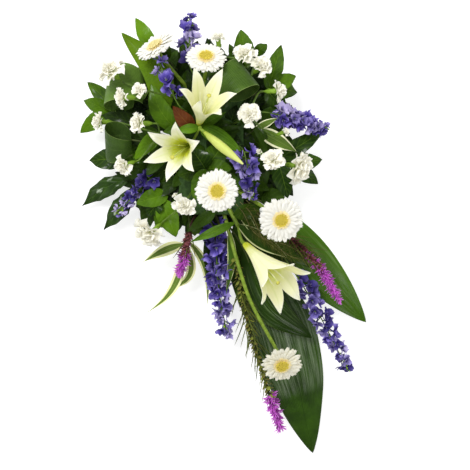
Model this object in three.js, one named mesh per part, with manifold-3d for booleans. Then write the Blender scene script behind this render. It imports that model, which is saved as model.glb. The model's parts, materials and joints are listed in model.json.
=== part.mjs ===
// A funeral spray: cut flowers and foliage stuck into a block of wet foam that stands in a plastic tray.
// The round head is over the tray, and a tail of long leaves and spikes runs away from it along -Y.
// Millimetres, +Z up, origin in the middle of the tray's underside, +Y towards the top of the head.
import * as THREE from "three";
import { mergeVertices } from "three/addons/utils/BufferGeometryUtils.js";
import Module from "manifold-3d";

const wasm = await Module();
wasm.setup();

// The view from above that the spray was laid out in. A place is written as [x, y, height]:
// a pixel of that view, 470 wide and high, and a height above the table in mm.
const VIEW = { mmPerPixel: 1.6, cameraHeight: 2400, middle: [235, 235], tray: [212, 150] };

const TRAY = { length: 240, width: 128, height: 32, wall: 2.4, corner: 24, flare: 5, lip: 2.5 };
const FOAM = { length: 208, width: 100, top: 74, bottom: 2.8, corner: 4 };
const GAP = 0.35; // between pieces that touch
const INSERTION = 24; // how deep a stem stands in the foam
const COLLAR = 5; // how far a stem runs on straight outside the foam
const BLADE = 1.5; // thickness of a leaf or petal along its middle
const NARROWEST = 0.6; // half the width that a blade keeps at its two ends

// Flowers. Lengths are in mm; rays, lobes, folds and whorl are counts.
const GERBERA = { rays: [16, 11], core: 11, disc: 9.5, discFoot: 2.6, cup: 8, depth: 8, neck: 26, stem: 2.1 };
const LILY = { tube: 4.5, wall: 1.7, lobes: 6, stations: 4, sinus: 0.54, pistil: 1.5, stigma: 3.2, stem: 3 };
const CARNATION = { folds: 4, calyx: 16, calyxRadius: 3.6, stem: 1.4 };
const DELPHINIUM = { lobes: 5, rachis: 1.7, whorl: 2, spacing: 21.5, reach: 8.5, lean: 0.45 };
const LIATRIS = { rachis: 2, bract: 7, thread: 10, tip: 2.6, bractTeeth: 3, threadTeeth: 6 };
const PETIOLE = 1.9; // radius of an aspidistra's stalk

const COLOURS = {
  tray: 0x1f3a26, foam: 0x4d7a3a, aspidistra: 0x1f4a14, salal: 0x3b7420, fatsia: 0x1b4418,
  variegated: 0x8fa868, lilyStem: 0x5f8f2a, lily: 0xf3f2d8, bud: 0xc9d957, gerbera: 0xfbfaf2,
  gerberaDisc: 0xe3cf62, gerberaStem: 0x7da33a, carnation: 0xf7f4ea, delphinium: 0x4a3fa8,
  liatris: 0x5a4a2c, liatrisTip: 0xc04fd0,
};

const AHEAD = new THREE.Vector3(0, 1, 0);
const UP = new THREE.Vector3(0, 0, 1);
const radians = THREE.MathUtils.degToRad;
const point = (x, y, z) => new THREE.Vector3(x, y, z);

// A place of the view as a point of the part.
function at([x, y, height]) {
  const near = 1 - height / VIEW.cameraHeight;
  const [middleX, middleY] = VIEW.middle;
  const right = middleX - VIEW.tray[0] + (x - middleX) * near;
  const ahead = VIEW.tray[1] - middleY + (middleY - y) * near;
  return point(right * VIEW.mmPerPixel, ahead * VIEW.mmPerPixel, height);
}

// The direction that leans from straight up by tilt, towards a compass angle counted from +X.
function facing(tilt, toward) {
  const flat = Math.sin(radians(tilt));
  const turn = radians(toward);
  return point(flat * Math.cos(turn), flat * Math.sin(turn), Math.cos(radians(tilt)));
}

// A random number from 0 to 1 that is always the same for the same seed.
function random(seed) {
  const value = Math.sin(seed * 127.1 + 311.7) * 43758.5453;
  return value - Math.floor(value);
}

// Closed geometry as a solid, with its faces turned outwards.
function solidOf(geometry) {
  const bare = geometry.clone();
  for (const name of Object.keys(bare.attributes)) {
    if (name !== "position") bare.deleteAttribute(name);
  }
  const merged = mergeVertices(bare, 1e-4);
  const vertices = merged.attributes.position.array;
  const faces = [];
  const corner = (index) => new THREE.Vector3().fromArray(vertices, 3 * index);
  let volume = 0;
  for (let i = 0; i < merged.index.count; i += 3) {
    const [a, b, c] = merged.index.array.slice(i, i + 3);
    if (a === b || b === c || c === a) continue;
    faces.push([a, b, c]);
    volume += corner(a).dot(corner(b).cross(corner(c)));
  }
  if (volume < 0) faces.forEach((face) => face.reverse());
  const mesh = new wasm.Mesh({
    numProp: 3,
    vertProperties: new Float32Array(vertices),
    triVerts: new Uint32Array(faces.flat()),
  });
  return new wasm.Manifold(mesh);
}

function geometryOf(solid) {
  const mesh = solid.getMesh();
  const geometry = new THREE.BufferGeometry();
  geometry.setAttribute("position", new THREE.BufferAttribute(mesh.vertProperties, 3));
  geometry.setIndex(new THREE.BufferAttribute(mesh.triVerts, 1));
  geometry.computeVertexNormals();
  return geometry;
}

// Joins geometries that grow out of each other into one body, and leaves out loose scraps.
function fuse(geometries) {
  const joined = wasm.Manifold.union(geometries.map(solidOf));
  const bodies = joined.decompose().sort((a, b) => b.volume() - a.volume());
  return geometryOf(bodies[0]);
}

// Moves geometry that was made about the origin, facing +Z, to a place and a direction.
function placed(geometry, position, direction, twist = 0) {
  const turn = new THREE.Quaternion().setFromUnitVectors(UP, direction);
  const spin = new THREE.Quaternion().setFromAxisAngle(UP, twist);
  return geometry.clone().applyQuaternion(turn.multiply(spin)).translate(...position);
}

// A smooth line through points, as points with a few for each stretch.
function smooth(points, perStretch = 3) {
  const curve = new THREE.CatmullRomCurve3(points, false, "centripetal");
  return curve.getPoints(perStretch * (points.length - 1));
}

// A closed tube with a ring of corners at each of the points. Its radius may change along it.
function tube(points, radius, sides = 5) {
  const last = points.length - 1;
  const geometry = new THREE.CylinderGeometry(1, 1, 1, sides, last);
  const along = points.map((p, i) => {
    return points[Math.min(i + 1, last)].clone().sub(points[Math.max(i - 1, 0)]).normalize();
  });
  const start = Math.abs(along[0].z) < 0.9 ? UP : AHEAD;
  const sidesAt = [start.clone().cross(along[0]).normalize()];
  for (let i = 1; i <= last; i++) {
    const before = sidesAt[i - 1];
    sidesAt.push(before.clone().addScaledVector(along[i], -before.dot(along[i])).normalize());
  }
  const position = geometry.attributes.position;
  for (let i = 0; i < position.count; i++) {
    const ring = Math.round((position.getY(i) + 0.5) * last);
    const size = typeof radius === "number" ? radius : radius(ring / last);
    const side = sidesAt[ring];
    const up = along[ring].clone().cross(side);
    const place = points[ring].clone().addScaledVector(side, position.getX(i) * size);
    place.addScaledVector(up, position.getZ(i) * size);
    position.setXYZ(i, ...place);
  }
  return geometry;
}

// Every stem that stands in the foam, for the foam's holes.
const rootedStems = [];

// A stem that stands in the foam at its entry and goes on through the points.
function rootedStem(entry, points, radius, { taper = 0.8, sides = 4, perStretch = 1 } = {}) {
  const mouth = point(...entry);
  const outward = points[0].clone().sub(mouth).normalize();
  const cutEnd = mouth.clone().addScaledVector(outward, -INSERTION);
  const collar = mouth.clone().addScaledVector(outward, COLLAR);
  rootedStems.push({ cutEnd, collar, outward, radius, sides });
  const line = smooth([cutEnd, collar, ...points], perStretch);
  line.splice(1, perStretch - 1);
  return tube(line, (t) => radius * (1 + (taper - 1) * t), sides);
}

function stemHole({ cutEnd, collar, outward, radius, sides }) {
  const bottom = cutEnd.clone().addScaledVector(outward, -0.5);
  const top = collar.clone().addScaledVector(outward, 12);
  return solidOf(tube([bottom, top], radius + GAP / Math.cos(Math.PI / sides), sides));
}

// A thin solid on a grid of points: one face above them and one below, which meet at the rim.
// Both faces are split along the same diagonals, so that they never cross where the sheet is waved.
function sheet(columns, rows, pointAt, thickness = BLADE) {
  const step = 1e-3;
  const positions = [];
  const index = [];
  for (const face of [1, -1]) {
    const first = positions.length / 3;
    for (let j = 0; j <= rows; j++) {
      for (let i = 0; i <= columns; i++) {
        const u = i / columns;
        const v = j / rows;
        const place = pointAt(u, v);
        if (i > 0 && j > 0 && i < columns && j < rows) {
          const across = pointAt(u + step, v).sub(pointAt(u - step, v));
          const along = pointAt(u, v + step).sub(pointAt(u, v - step));
          place.addScaledVector(across.cross(along).normalize(), (face * thickness) / 2);
        }
        positions.push(...place);
      }
    }
    for (let j = 0; j < rows; j++) {
      for (let i = 0; i < columns; i++) {
        const a = first + j * (columns + 1) + i;
        const [b, c, d] = [a + 1, a + columns + 1, a + columns + 2];
        const fromCorner = 2 * i < columns === 2 * j < rows;
        const faces = fromCorner ? [a, b, d, a, d, c] : [a, b, c, b, d, c];
        index.push(...(face > 0 ? faces : faces.reverse()));
      }
    }
  }
  const geometry = new THREE.BufferGeometry();
  geometry.setAttribute("position", new THREE.Float32BufferAttribute(positions, 3));
  geometry.setIndex(index);
  return geometry;
}

// Half the width of a blade along its length, as a share of its widest, for each kind of outline.
const OUTLINES = {
  ovate: (t) => Math.sin(Math.PI * t ** 0.78) ** 0.8,
  lance: (t) => Math.sin(Math.PI * t ** 0.85) ** 1.05,
  strap: (t) => Math.sin(Math.PI * t ** 0.95) ** 0.62,
  pointed: (t) => Math.sin(Math.PI * t ** 0.85) ** 0.8,
};

// A blade along a spine. It faces up, rolled by some degrees about the spine. A cup lifts its edges,
// and a wave ripples them, both as shares of its width.
function blade({ spine, width, outline = "ovate", roll = 0, twist = 0, cup = 0, wave = 0, waves = 3,
  rows = 4, columns = 2, face = UP, thickness = BLADE }) {
  const half = (t) => Math.max((width / 2) * OUTLINES[outline](Math.min(Math.max(t, 0), 1)), NARROWEST);
  return sheet(columns, rows, (u, v) => {
    const across = 2 * u - 1;
    const along = spine.getTangent(Math.min(Math.max(v, 0), 1));
    const side = along.clone().cross(face).normalize();
    side.applyAxisAngle(along, radians(roll + twist * v));
    const up = side.clone().cross(along);
    const ripple = wave * width * Math.sin(2 * Math.PI * waves * v) * across;
    const lift = cup * width * across * across * Math.min(4 * v, 4 * (1 - v), 1) + ripple;
    return spine.getPoint(v).addScaledVector(side, across * half(v)).addScaledVector(up, lift);
  }, thickness);
}

// The spine of a leaf from its base to its tip, which bows up by arch on the way.
function arched(base, tip, arch) {
  const middle = base.clone().lerp(tip, 0.5).addScaledVector(UP, 2 * arch);
  return new THREE.QuadraticBezierCurve3(base, middle, tip);
}

const leaf = ({ base, tip, arch = 8, ...rest }) => blade({ spine: arched(base, tip, arch), ...rest });

const spray = new THREE.Group();
spray.name = "funeral_spray";

function add(name, geometry, colour, roughness, parent = spray) {
  const look = { color: COLOURS[colour], roughness, metalness: 0, side: THREE.DoubleSide };
  const mesh = new THREE.Mesh(geometry, new THREE.MeshStandardMaterial(look));
  mesh.name = name;
  parent.add(mesh);
  return mesh;
}

// Aspidistra: big plain leaves on their stalks.
const aspidistras = [
  {
    name: "tail", entry: [28, -104, 44], by: [[246, 238, 44]], base: [254, 256, 40], bend: [288, 348, 26],
    tip: [313, 453, 9], width: 106, roll: -8, cup: -0.06, rows: 8,
  },
  {
    name: "tail_upper", entry: [14, -104, 48], by: [[236, 236, 52]], base: [244, 250, 52],
    bend: [268, 304, 50], tip: [312, 338, 30], width: 50, roll: 10, cup: 0.06, rows: 6,
  },
  {
    name: "right", entry: [50, -70, 50], by: [[258, 200, 50]], base: [272, 207, 46], bend: [318, 269, 44],
    tip: [366, 322, 18], width: 68, roll: 6, cup: -0.05, rows: 7,
  },
  {
    name: "top_left", entry: [-46, 42, 74], by: [[172, 121, 80]], base: [165, 116, 83], bend: [157, 74, 88],
    tip: [121.5, 32.4, 68], width: 42, roll: 0, cup: 0.08, rows: 7,
  },
];

function addAspidistra({ name, entry, by, base, bend, tip, ...shape }) {
  const [start, middle, end] = [base, bend, tip].map(at);
  const spine = new THREE.CatmullRomCurve3([start, middle, end], false, "centripetal");
  const line = [...by.map(at), spine.getPoint(0), spine.getPoint(0.12)];
  const petiole = rootedStem(entry, line, PETIOLE, { taper: 0.6 });
  const lamina = blade({ spine, outline: "pointed", columns: 4, ...shape });
  add(`aspidistra_${name}`, fuse([petiole, lamina]), "aspidistra", 0.35);
}

// Aspidistra leaves rolled into open loops, with their tips tucked in at the stalk.
const rolls = [
  {
    name: "left_upper", entry: [-50, 84, 58], mouth: [123, 109, 92], axis: [-0.1, -0.9, 0.42],
    radius: 28, width: 66, start: [1, 0, -0.7],
  },
  {
    name: "left_lower", entry: [-50, 4, 58], mouth: [118, 127, 106], axis: [0, 0.78, 0.63],
    radius: 19.5, width: 58, start: [1, -0.4, -0.6],
  },
  {
    name: "right", entry: [16, 76, 74], mouth: [245, 98, 118], axis: [0.6, -0.75, 0.26],
    radius: 27.5, width: 54, start: [-0.6, -0.5, -0.7],
  },
];

function addRoll({ name, entry, mouth, axis, radius, width, start }) {
  const out = point(...axis).normalize();
  const centre = at(mouth).addScaledVector(out, -width / 2);
  const first = point(...start);
  first.addScaledVector(out, -first.dot(out)).normalize();
  const second = out.clone().cross(first);
  const turn = radians(325);
  const onStrip = (u, v) => {
    const half = Math.max((width / 2) * OUTLINES.strap(0.04 + 0.9 * v), NARROWEST);
    const reach = radius * (1 + 0.12 * v);
    const place = centre.clone().addScaledVector(first, reach * Math.cos(turn * v));
    return place.addScaledVector(second, reach * Math.sin(turn * v)).addScaledVector(out, (2 * u - 1) * half);
  };
  const joint = onStrip(0.5, 0.03);
  const outside = joint.clone().addScaledVector(first, 12).addScaledVector(second, -6);
  const petiole = rootedStem(entry, [outside, joint], PETIOLE, { taper: 0.7 });
  add(`aspidistra_roll_${name}`, fuse([petiole, sheet(2, 14, onStrip)]), "aspidistra", 0.35);
}

// Twigs: a woody stem with leaves, each from a place along the stem (0 to 1) to its own tip.
const salals = [
  {
    name: "north", entry: [-40, 104, 44], by: [[174, 66, 56], [152, 50, 60]], leaves: [
      { t: 0.95, tip: [135.5, 18, 58], width: 24 },
      { t: 0.72, tip: [168, 44, 84], width: 20 },
    ],
  },
  {
    name: "north_east", entry: [40, 104, 46], by: [[246, 66, 50], [256, 54, 54]], leaves: [
      { t: 0.52, tip: [241, 29.5, 66], width: 32 },
      { t: 0.97, tip: [267, 44, 58], width: 18 },
      { t: 0.3, tip: [229, 44, 60], width: 20 },
    ],
  },
  {
    name: "east", entry: [50, 76, 56], by: [[262, 92, 60], [272, 88, 58]], leaves: [
      { t: 0.9, tip: [296, 76, 56], width: 26 },
      { t: 0.97, tip: [297, 92, 46], width: 30 },
      { t: 0.7, tip: [285, 110, 44], width: 28 },
      { t: 0.8, tip: [281.5, 45, 64], width: 28 },
    ],
  },
  {
    name: "south_east", entry: [50, -22, 56], by: [[272, 160, 60], [292, 165, 54]], leaves: [
      { t: 0.6, tip: [323, 131, 46], width: 28 },
      { t: 0.9, tip: [322, 160, 52], width: 30 },
      { t: 0.97, tip: [318, 184, 42], width: 26 },
      { t: 0.66, tip: [288, 198, 50], width: 32 },
    ],
  },
  {
    name: "south_west", entry: [-50, -84, 60], by: [[168, 194, 66], [160, 200, 66]], leaves: [
      { t: 0.5, tip: [136, 203, 66], width: 29 },
      { t: 0.97, tip: [148, 216, 60], width: 26 },
      { t: 0.93, tip: [176, 237, 50], width: 34 },
      { t: 0.93, tip: [159, 233, 44], width: 20 },
    ],
  },
  {
    name: "west", entry: [-50, -14, 62], by: [[150, 150, 66], [124, 158, 54]], leaves: [
      { t: 0.97, tip: [90, 161, 38], width: 34 },
      { t: 0.62, tip: [136, 164, 90], width: 28 },
    ],
  },
  {
    name: "north_west", entry: [-50, 32, 50], by: [[128, 112, 40], [106, 112, 38]], leaves: [
      { t: 0.9, tip: [84, 100, 36], width: 24 },
      { t: 0.97, tip: [80.5, 133, 30], width: 26 },
      { t: 0.7, tip: [87.5, 82, 30], width: 26 },
    ],
  },
  {
    name: "centre", entry: [-6, -16, 74], by: [[206, 168, 104], [206, 170, 116]], leaves: [
      { t: 0.9, tip: [192, 149, 124], width: 34 },
      { t: 0.97, tip: [194, 200, 124], width: 28 },
      { t: 0.7, tip: [232, 168, 112], width: 28 },
      { t: 0.5, tip: [226, 142, 96], width: 34 },
      { t: 0.45, tip: [178, 176, 92], width: 34 },
      { t: 0.3, tip: [246, 190, 94], width: 22 },
    ],
  },
];

// A place on a bent line, from 0 to 1, where each of its stretches has the same share.
function onLine(points, t) {
  const stretch = Math.min(Math.floor(t * (points.length - 1)), points.length - 2);
  return points[stretch].clone().lerp(points[stretch + 1], t * (points.length - 1) - stretch);
}

function addTwig({ name, entry, by, leaves }, kind, radius, shape = {}) {
  const line = [point(...entry), ...by.map(at)];
  const parts = [rootedStem(entry, by.map(at), radius, { taper: 0.6 })];
  for (const { t, tip, ...rest } of leaves) {
    parts.push(leaf({ base: onLine(line, t), tip: at(tip), ...shape, ...rest }));
  }
  add(`${kind}_${name}`, fuse(parts), kind, 0.4);
}

// One hand-shaped leaf with two of its lobes showing.
const fatsia = {
  name: "leaf", entry: [-50, -58, 50], by: [[156, 177, 44], [146, 174, 42]], leaves: [
    { t: 0.9, tip: [82, 206, 12], width: 32 },
    { t: 0.97, tip: [104, 230, 14], width: 32 },
  ],
};

// Narrow leaves with pale edges.
const variegateds = [
  {
    name: "right", entry: [50, 14, 64], by: [[256, 128, 84]], leaves: [
      { t: 0.97, tip: [297, 152, 84], width: 25 },
      { t: 0.8, tip: [278, 118, 92], width: 12 },
    ],
  },
  {
    name: "left", entry: [-36, -104, 50], by: [[190, 238, 46], [184, 244, 40]], leaves: [
      { t: 0.97, tip: [143, 262, 26], width: 20 },
      { t: 0.93, tip: [148, 312, 12], width: 15 },
      { t: 0.85, tip: [166, 290, 22], width: 13 },
      { t: 0.7, tip: [207, 306, 14], width: 12 },
    ],
  },
];

// Lilies: each flower and the bud sits on a pedicel of one of two leafy stems.
const lilies = [
  { name: "upper", base: [199, 123, 96], mouth: [208, 91, 197], reach: 43, spin: -2 },
  { name: "left", base: [189, 145.5, 88], mouth: [171, 152, 188], reach: 45, spin: 20 },
  { name: "tail", base: [245, 244, 88], mouth: [283, 288, 150], reach: 44, spin: 32 },
];

// The outside of the trumpet: radius and height at some shares of its length.
const LILY_PROFILE = new THREE.SplineCurve([
  new THREE.Vector2(LILY.tube, 0), new THREE.Vector2(9, 26), new THREE.Vector2(16.5, 52),
  new THREE.Vector2(25, 76), new THREE.Vector2(33.5, 94), new THREE.Vector2(44, 104),
]);

// A trumpet with six pointed lobes, with its outside and its inside a wall apart.
function lilyShell(length, reach) {
  const { stations, wall, sinus } = LILY;
  const columns = 2 * LILY.lobes;
  const full = LILY_PROFILE.points.at(-1);
  const profile = [];
  for (let j = 0; j <= 2 * stations + 2; j++) profile.push(new THREE.Vector2(1, j));
  const rows = profile.length;
  const geometry = new THREE.LatheGeometry(profile, columns);
  const position = geometry.attributes.position;
  for (let i = 0; i < position.count; i++) {
    const column = Math.floor(i / rows) % columns;
    const row = i % rows;
    const inside = row > stations + 1;
    const station = inside ? 2 * stations + 1 - row : row - 1;
    const pole = station < 0;
    const share = Math.max(station, 0) / stations;
    const onProfile = LILY_PROFILE.getPoint(share * (column % 2 ? sinus : 1));
    const flare = 1 + (reach / full.x - 1) * share * share;
    const inset = inside && share < 1 ? wall : 0;
    const radius = pole ? 0 : onProfile.x * flare - inset;
    const raised = inside && share === 0 ? wall : 0;
    const height = (onProfile.y * length) / full.y + (pole && !inside ? -2 : raised);
    const angle = (2 * Math.PI * column) / columns;
    position.setXYZ(i, radius * Math.cos(angle), radius * Math.sin(angle), height);
  }
  return geometry;
}

function lilyParts(length, reach) {
  const top = point(4, 2, 0.98 * length);
  const style = tube([point(0, 0, -1), point(1, 0, length / 2), top], LILY.pistil, 4);
  const stigma = new THREE.SphereGeometry(LILY.stigma, 5, 3).translate(...top);
  return [lilyShell(length, reach), style, stigma];
}

function addLily({ name, base, mouth, reach, spin }) {
  const foot = at(base);
  const axis = at(mouth).sub(foot);
  const length = axis.length();
  axis.normalize();
  const parts = lilyParts(length, reach).map((part) => placed(part, foot, axis, radians(spin)));
  add(`lily_${name}`, fuse(parts), "lily", 0.45);
}

const bud = { base: [203, 131, 122], tip: [243, 164, 150], radius: 8 };

function addBud({ base, tip, radius }) {
  const line = smooth([at(base), at(tip)], 5);
  const shape = (t) => Math.max(radius * Math.sin(Math.PI * (0.16 + 0.8 * t)) ** 0.8, 1.2);
  add("lily_bud", fuse([tube(line, shape, 7)]), "bud", 0.45);
}

// Where a pedicel ends: a little below the foot of its flower, in line with it.
function below(foot, toward, distance) {
  return foot.clone().addScaledVector(toward.clone().sub(foot).normalize(), -distance);
}

const lilyStems = [
  {
    name: "head", entry: [-16, 34, 74], top: [200, 128, 106], flowers: [0, 1], toBud: true, leaves: [
      { from: 0.6, tip: [241, 151, 118], width: 26, arch: 14, outline: "ovate" },
      { from: 0.8, tip: [176, 131, 104], width: 15, arch: 8 },
      { from: 0.5, tip: [226, 112, 104], width: 15, arch: 4 },
      { from: 0.2, tip: [172, 122, 82], width: 24, arch: 4, outline: "ovate" },
      { from: 0.35, tip: [216, 86, 92], width: 34, outline: "ovate" },
      { from: 0.25, tip: [163, 132, 90], width: 24, outline: "ovate" },
    ],
  },
  {
    name: "tail", entry: [26, -92, 74], top: [238, 226, 86], flowers: [2], toBud: false, leaves: [
      { from: 0.8, tip: [190.5, 242, 92], width: 19, arch: 10 },
      { from: 0.9, tip: [288, 258, 80], width: 26, arch: 2 },
      { from: 0.5, tip: [262, 206, 92], width: 24, arch: 6 },
    ],
  },
];

function addLilyStem({ name, entry, top, flowers, toBud, leaves }) {
  const peak = at(top);
  const parts = [rootedStem(entry, [peak], LILY.stem, { sides: 5 })];
  for (const flower of flowers) {
    const [foot, mouth] = [at(lilies[flower].base), at(lilies[flower].mouth)];
    const line = [peak, below(foot, mouth, 10), below(foot, mouth, 2 + GAP)];
    parts.push(tube(line, 1.8, 4));
  }
  if (toBud) {
    const [foot, tip] = [at(bud.base), at(bud.tip)];
    parts.push(tube([peak, below(foot, tip, 6), below(foot, tip, GAP)], 1.2, 4));
  }
  for (const { from, tip, ...shape } of leaves) {
    const base = point(...entry).lerp(peak, from);
    parts.push(leaf({ base, tip: at(tip), outline: "lance", cup: 0.1, ...shape }));
  }
  add(`lily_stem_${name}`, fuse(parts), "lilyStem", 0.5);
}

// Gerberas: two rings of rays round a domed disc, on a leafless stem with a green cup.
const gerberas = [
  { name: "top_left", head: [155, 46, 122], tilt: 59, toward: 123, radius: 28, entry: [-40, 96, 74] },
  { name: "top", head: [206, 57, 138], tilt: 40, toward: 88, radius: 31, entry: [-14, 90, 74] },
  { name: "centre", head: [217, 191, 186], tilt: 8, toward: 300, radius: 32, entry: [4, -44, 74] },
  { name: "right", head: [281, 220, 152], tilt: 16, toward: 310, radius: 34, entry: [34, -62, 74] },
  {
    name: "tail", head: [282, 365, 88], tilt: 32, toward: 285, radius: 31, entry: [20, -104, 66],
    by: [[236, 257, 78], [250, 300, 76]],
  },
];

// One ring of rays: a star whose notches reach in to the core, with its height at notch, shoulder and tip.
function rayRing({ count, reach, top, bottom, heights, turn }) {
  const [notch, shoulder, tip] = heights;
  const corners = [];
  for (let i = 0; i < count; i++) {
    const ray = [[GERBERA.core, 0, notch], [0.92 * reach, 0.24, shoulder], [reach, 0.72, tip]];
    for (const [away, share, height] of ray) {
      corners.push([away, (2 * Math.PI * (i + share + turn)) / count, height]);
    }
  }
  return star({ corners, top, bottom });
}

function gerberaRays(radius) {
  const [outer, inner] = GERBERA.rays;
  return fuse([
    rayRing({ count: outer, reach: radius, top: 1, bottom: -2, heights: [-0.6, -1.2, -2.4], turn: 0 }),
    rayRing({
      count: inner, reach: 0.8 * radius, top: GERBERA.discFoot, bottom: -0.6, heights: [1.2, 2.3, 3],
      turn: 0.4,
    }),
  ]);
}

// A dome with its florets as raised ribs in rings.
function gerberaDisc() {
  const { disc } = GERBERA;
  const profile = [[0, 0], [disc, 0], [0.94 * disc, 1.5], [0.66 * disc, 2.4], [0.36 * disc, 1.7], [0, 1.3]];
  const dome = new THREE.LatheGeometry(profile.map(([x, y]) => new THREE.Vector2(x, y)), 10);
  const position = dome.attributes.position;
  for (let i = 0; i < position.count; i++) {
    const ring = i % profile.length;
    const column = Math.floor(i / profile.length);
    const raised = ring > 1 && ring < 5 && (ring + column) % 2;
    position.setY(i, position.getY(i) + (raised ? 0.7 : 0));
  }
  return fuse([dome.rotateX(Math.PI / 2)]);
}

function addGerbera({ name, head, tilt, toward, radius, entry, by = [] }) {
  const direction = facing(tilt, toward);
  const position = at(head);
  const group = new THREE.Group();
  group.position.copy(position);
  group.quaternion.setFromUnitVectors(UP, direction);
  spray.add(group);
  add(`gerbera_${name}_rays`, gerberaRays(radius), "gerbera", 0.6, group);
  const { discFoot, cup, depth, stem } = GERBERA;
  add(`gerbera_${name}_disc`, gerberaDisc(), "gerberaDisc", 0.8, group).position.z = discFoot + GAP;
  const neck = position.clone().addScaledVector(direction, -GERBERA.neck);
  const top = position.clone().addScaledVector(direction, -depth - 1);
  const stalk = rootedStem(entry, [...by.map(at), neck, top], stem, { sides: 5, perStretch: 2 });
  const green = new THREE.CylinderGeometry(cup, stem + 0.5, depth, 7).rotateX(Math.PI / 2);
  green.translate(0, 0, -depth / 2 - 2 - GAP);
  add(`gerbera_${name}_stem`, fuse([stalk, placed(green, position, direction)]), "gerberaStem", 0.6);
}

// A closed star: a rim of corners in and out, up and down, between a middle above and one below.
function star({ corners, top, bottom }) {
  const positions = [0, 0, top, 0, 0, bottom];
  const index = [];
  const count = corners.length;
  corners.forEach(([reach, turn, height], i) => {
    positions.push(reach * Math.cos(turn), reach * Math.sin(turn), height);
    const here = 2 + i;
    const next = 2 + ((i + 1) % count);
    index.push(0, here, next, 1, next, here);
  });
  const geometry = new THREE.BufferGeometry();
  geometry.setAttribute("position", new THREE.Float32BufferAttribute(positions, 3));
  geometry.setIndex(index);
  return geometry;
}

// Spray carnations: branching stems, each head three ruffled tiers of petals on a long calyx.
const carnations = [
  {
    name: "left_upper", entry: [-42, 74, 74], fork: [148, 91, 134], heads: [
      { head: [110, 71, 134], tilt: 50, toward: 140, radius: 20 },
      { head: [122.6, 98, 142], tilt: 72, toward: 185, radius: 15 },
      { head: [139, 90, 146], tilt: 25, toward: 115, radius: 11 },
    ],
  },
  {
    name: "left_lower", entry: [-44, 12, 74], fork: [160, 134, 112], heads: [
      { head: [139, 123, 150], tilt: 62, toward: 180, radius: 17 },
      { head: [99.5, 122, 84], tilt: 74, toward: 180, radius: 15 },
      { head: [124, 166, 118], tilt: 55, toward: 205, radius: 16 },
    ],
  },
  {
    name: "bottom", entry: [-28, -66, 74], fork: [183, 206, 96], heads: [
      { head: [184.5, 205.5, 132], tilt: 25, toward: 250, radius: 16 },
      { head: [150, 234, 84], tilt: 66, toward: 225, radius: 20 },
      { head: [176, 196, 120], tilt: 45, toward: 150, radius: 6 },
    ],
  },
  {
    name: "right_upper", entry: [20, 104, 60], by: [[244, 68, 66]], fork: [256, 60, 84], heads: [
      { head: [243, 53, 122], tilt: 38, toward: 105, radius: 14 },
      { head: [260, 66, 126], tilt: 40, toward: 40, radius: 14 },
      { head: [218, 38, 108], tilt: 60, toward: 95, radius: 11 },
    ],
  },
  {
    name: "right_middle", entry: [34, 36, 74], fork: [248, 116, 120], heads: [
      { head: [249.5, 115, 160], tilt: 12, toward: 90, radius: 18 },
      { head: [284, 132, 118], tilt: 60, toward: 20, radius: 8 },
      { head: [278, 91, 116], tilt: 72, toward: 0, radius: 15 },
    ],
  },
  {
    name: "right_lower", entry: [42, -18, 74], fork: [266, 160, 106], heads: [
      { head: [273, 160, 150], tilt: 30, toward: 120, radius: 17 },
      { head: [298, 167, 116], tilt: 64, toward: 345, radius: 24 },
      { head: [259.5, 152, 136], tilt: 30, toward: 150, radius: 6 },
    ],
  },
];

// The outline of a head from below to above: radius and height as shares of the head's radius.
// Its rims are ruffled.
const CARNATION_OUTLINE = [
  { away: 0, height: -0.34 }, { away: 1, height: 0.08, rim: true },
  { away: 0.62, height: 0.22 }, { away: 0.84, height: 0.5, rim: true }, { away: 0.42, height: 0.52 },
  { away: 0.52, height: 0.86, rim: true }, { away: 0, height: 0.62 },
];

function carnationHead(radius, seed) {
  const columns = radius < 10 ? 6 : 2 * CARNATION.folds;
  const rings = CARNATION_OUTLINE.length;
  const outline = CARNATION_OUTLINE.map(({ away, height }) => new THREE.Vector2(away, height));
  const geometry = new THREE.LatheGeometry(outline, columns).rotateX(Math.PI / 2);
  const position = geometry.attributes.position;
  for (let i = 0; i < position.count; i++) {
    const ring = i % rings;
    const column = Math.floor(i / rings) % columns;
    const jitter = 0.14 * random(seed * 31 + ring * 17 + column);
    const folded = (ring / 2 + column) % 2;
    const { rim } = CARNATION_OUTLINE[ring];
    const away = rim ? (folded ? 0.82 : 1) * (0.9 + jitter) : 1;
    const lift = rim ? (folded ? 0.14 : -0.06) + jitter / 2 : 0;
    const [x, y, z] = [position.getX(i), position.getY(i), position.getZ(i)];
    position.setXYZ(i, radius * x * away, radius * y * away, radius * (z + lift));
  }
  return geometry;
}

function addCarnations({ name, entry, by = [], fork, heads }, order) {
  const node = at(fork);
  const { calyx, calyxRadius, stem } = CARNATION;
  const parts = [rootedStem(entry, [...by.map(at), node], stem + 0.5)];
  heads.forEach(({ head, tilt, toward, radius }, i) => {
    const direction = facing(tilt, toward);
    const position = at(head);
    const size = radius < 10 ? 0.7 : 1;
    const down = (distance) => position.clone().addScaledVector(direction, -distance * size);
    const swell = [stem, stem, 1.4 * stem, calyxRadius * size];
    parts.push(placed(carnationHead(radius, order * 7 + i), position, direction, i));
    const line = [node, down(calyx + 10), down(0.8 * calyx), down(0)];
    parts.push(tube(line, (t) => swell[Math.round(3 * t)], 4));
  });
  add(`carnation_spray_${name}`, fuse(parts), "carnation", 0.8);
}

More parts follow.
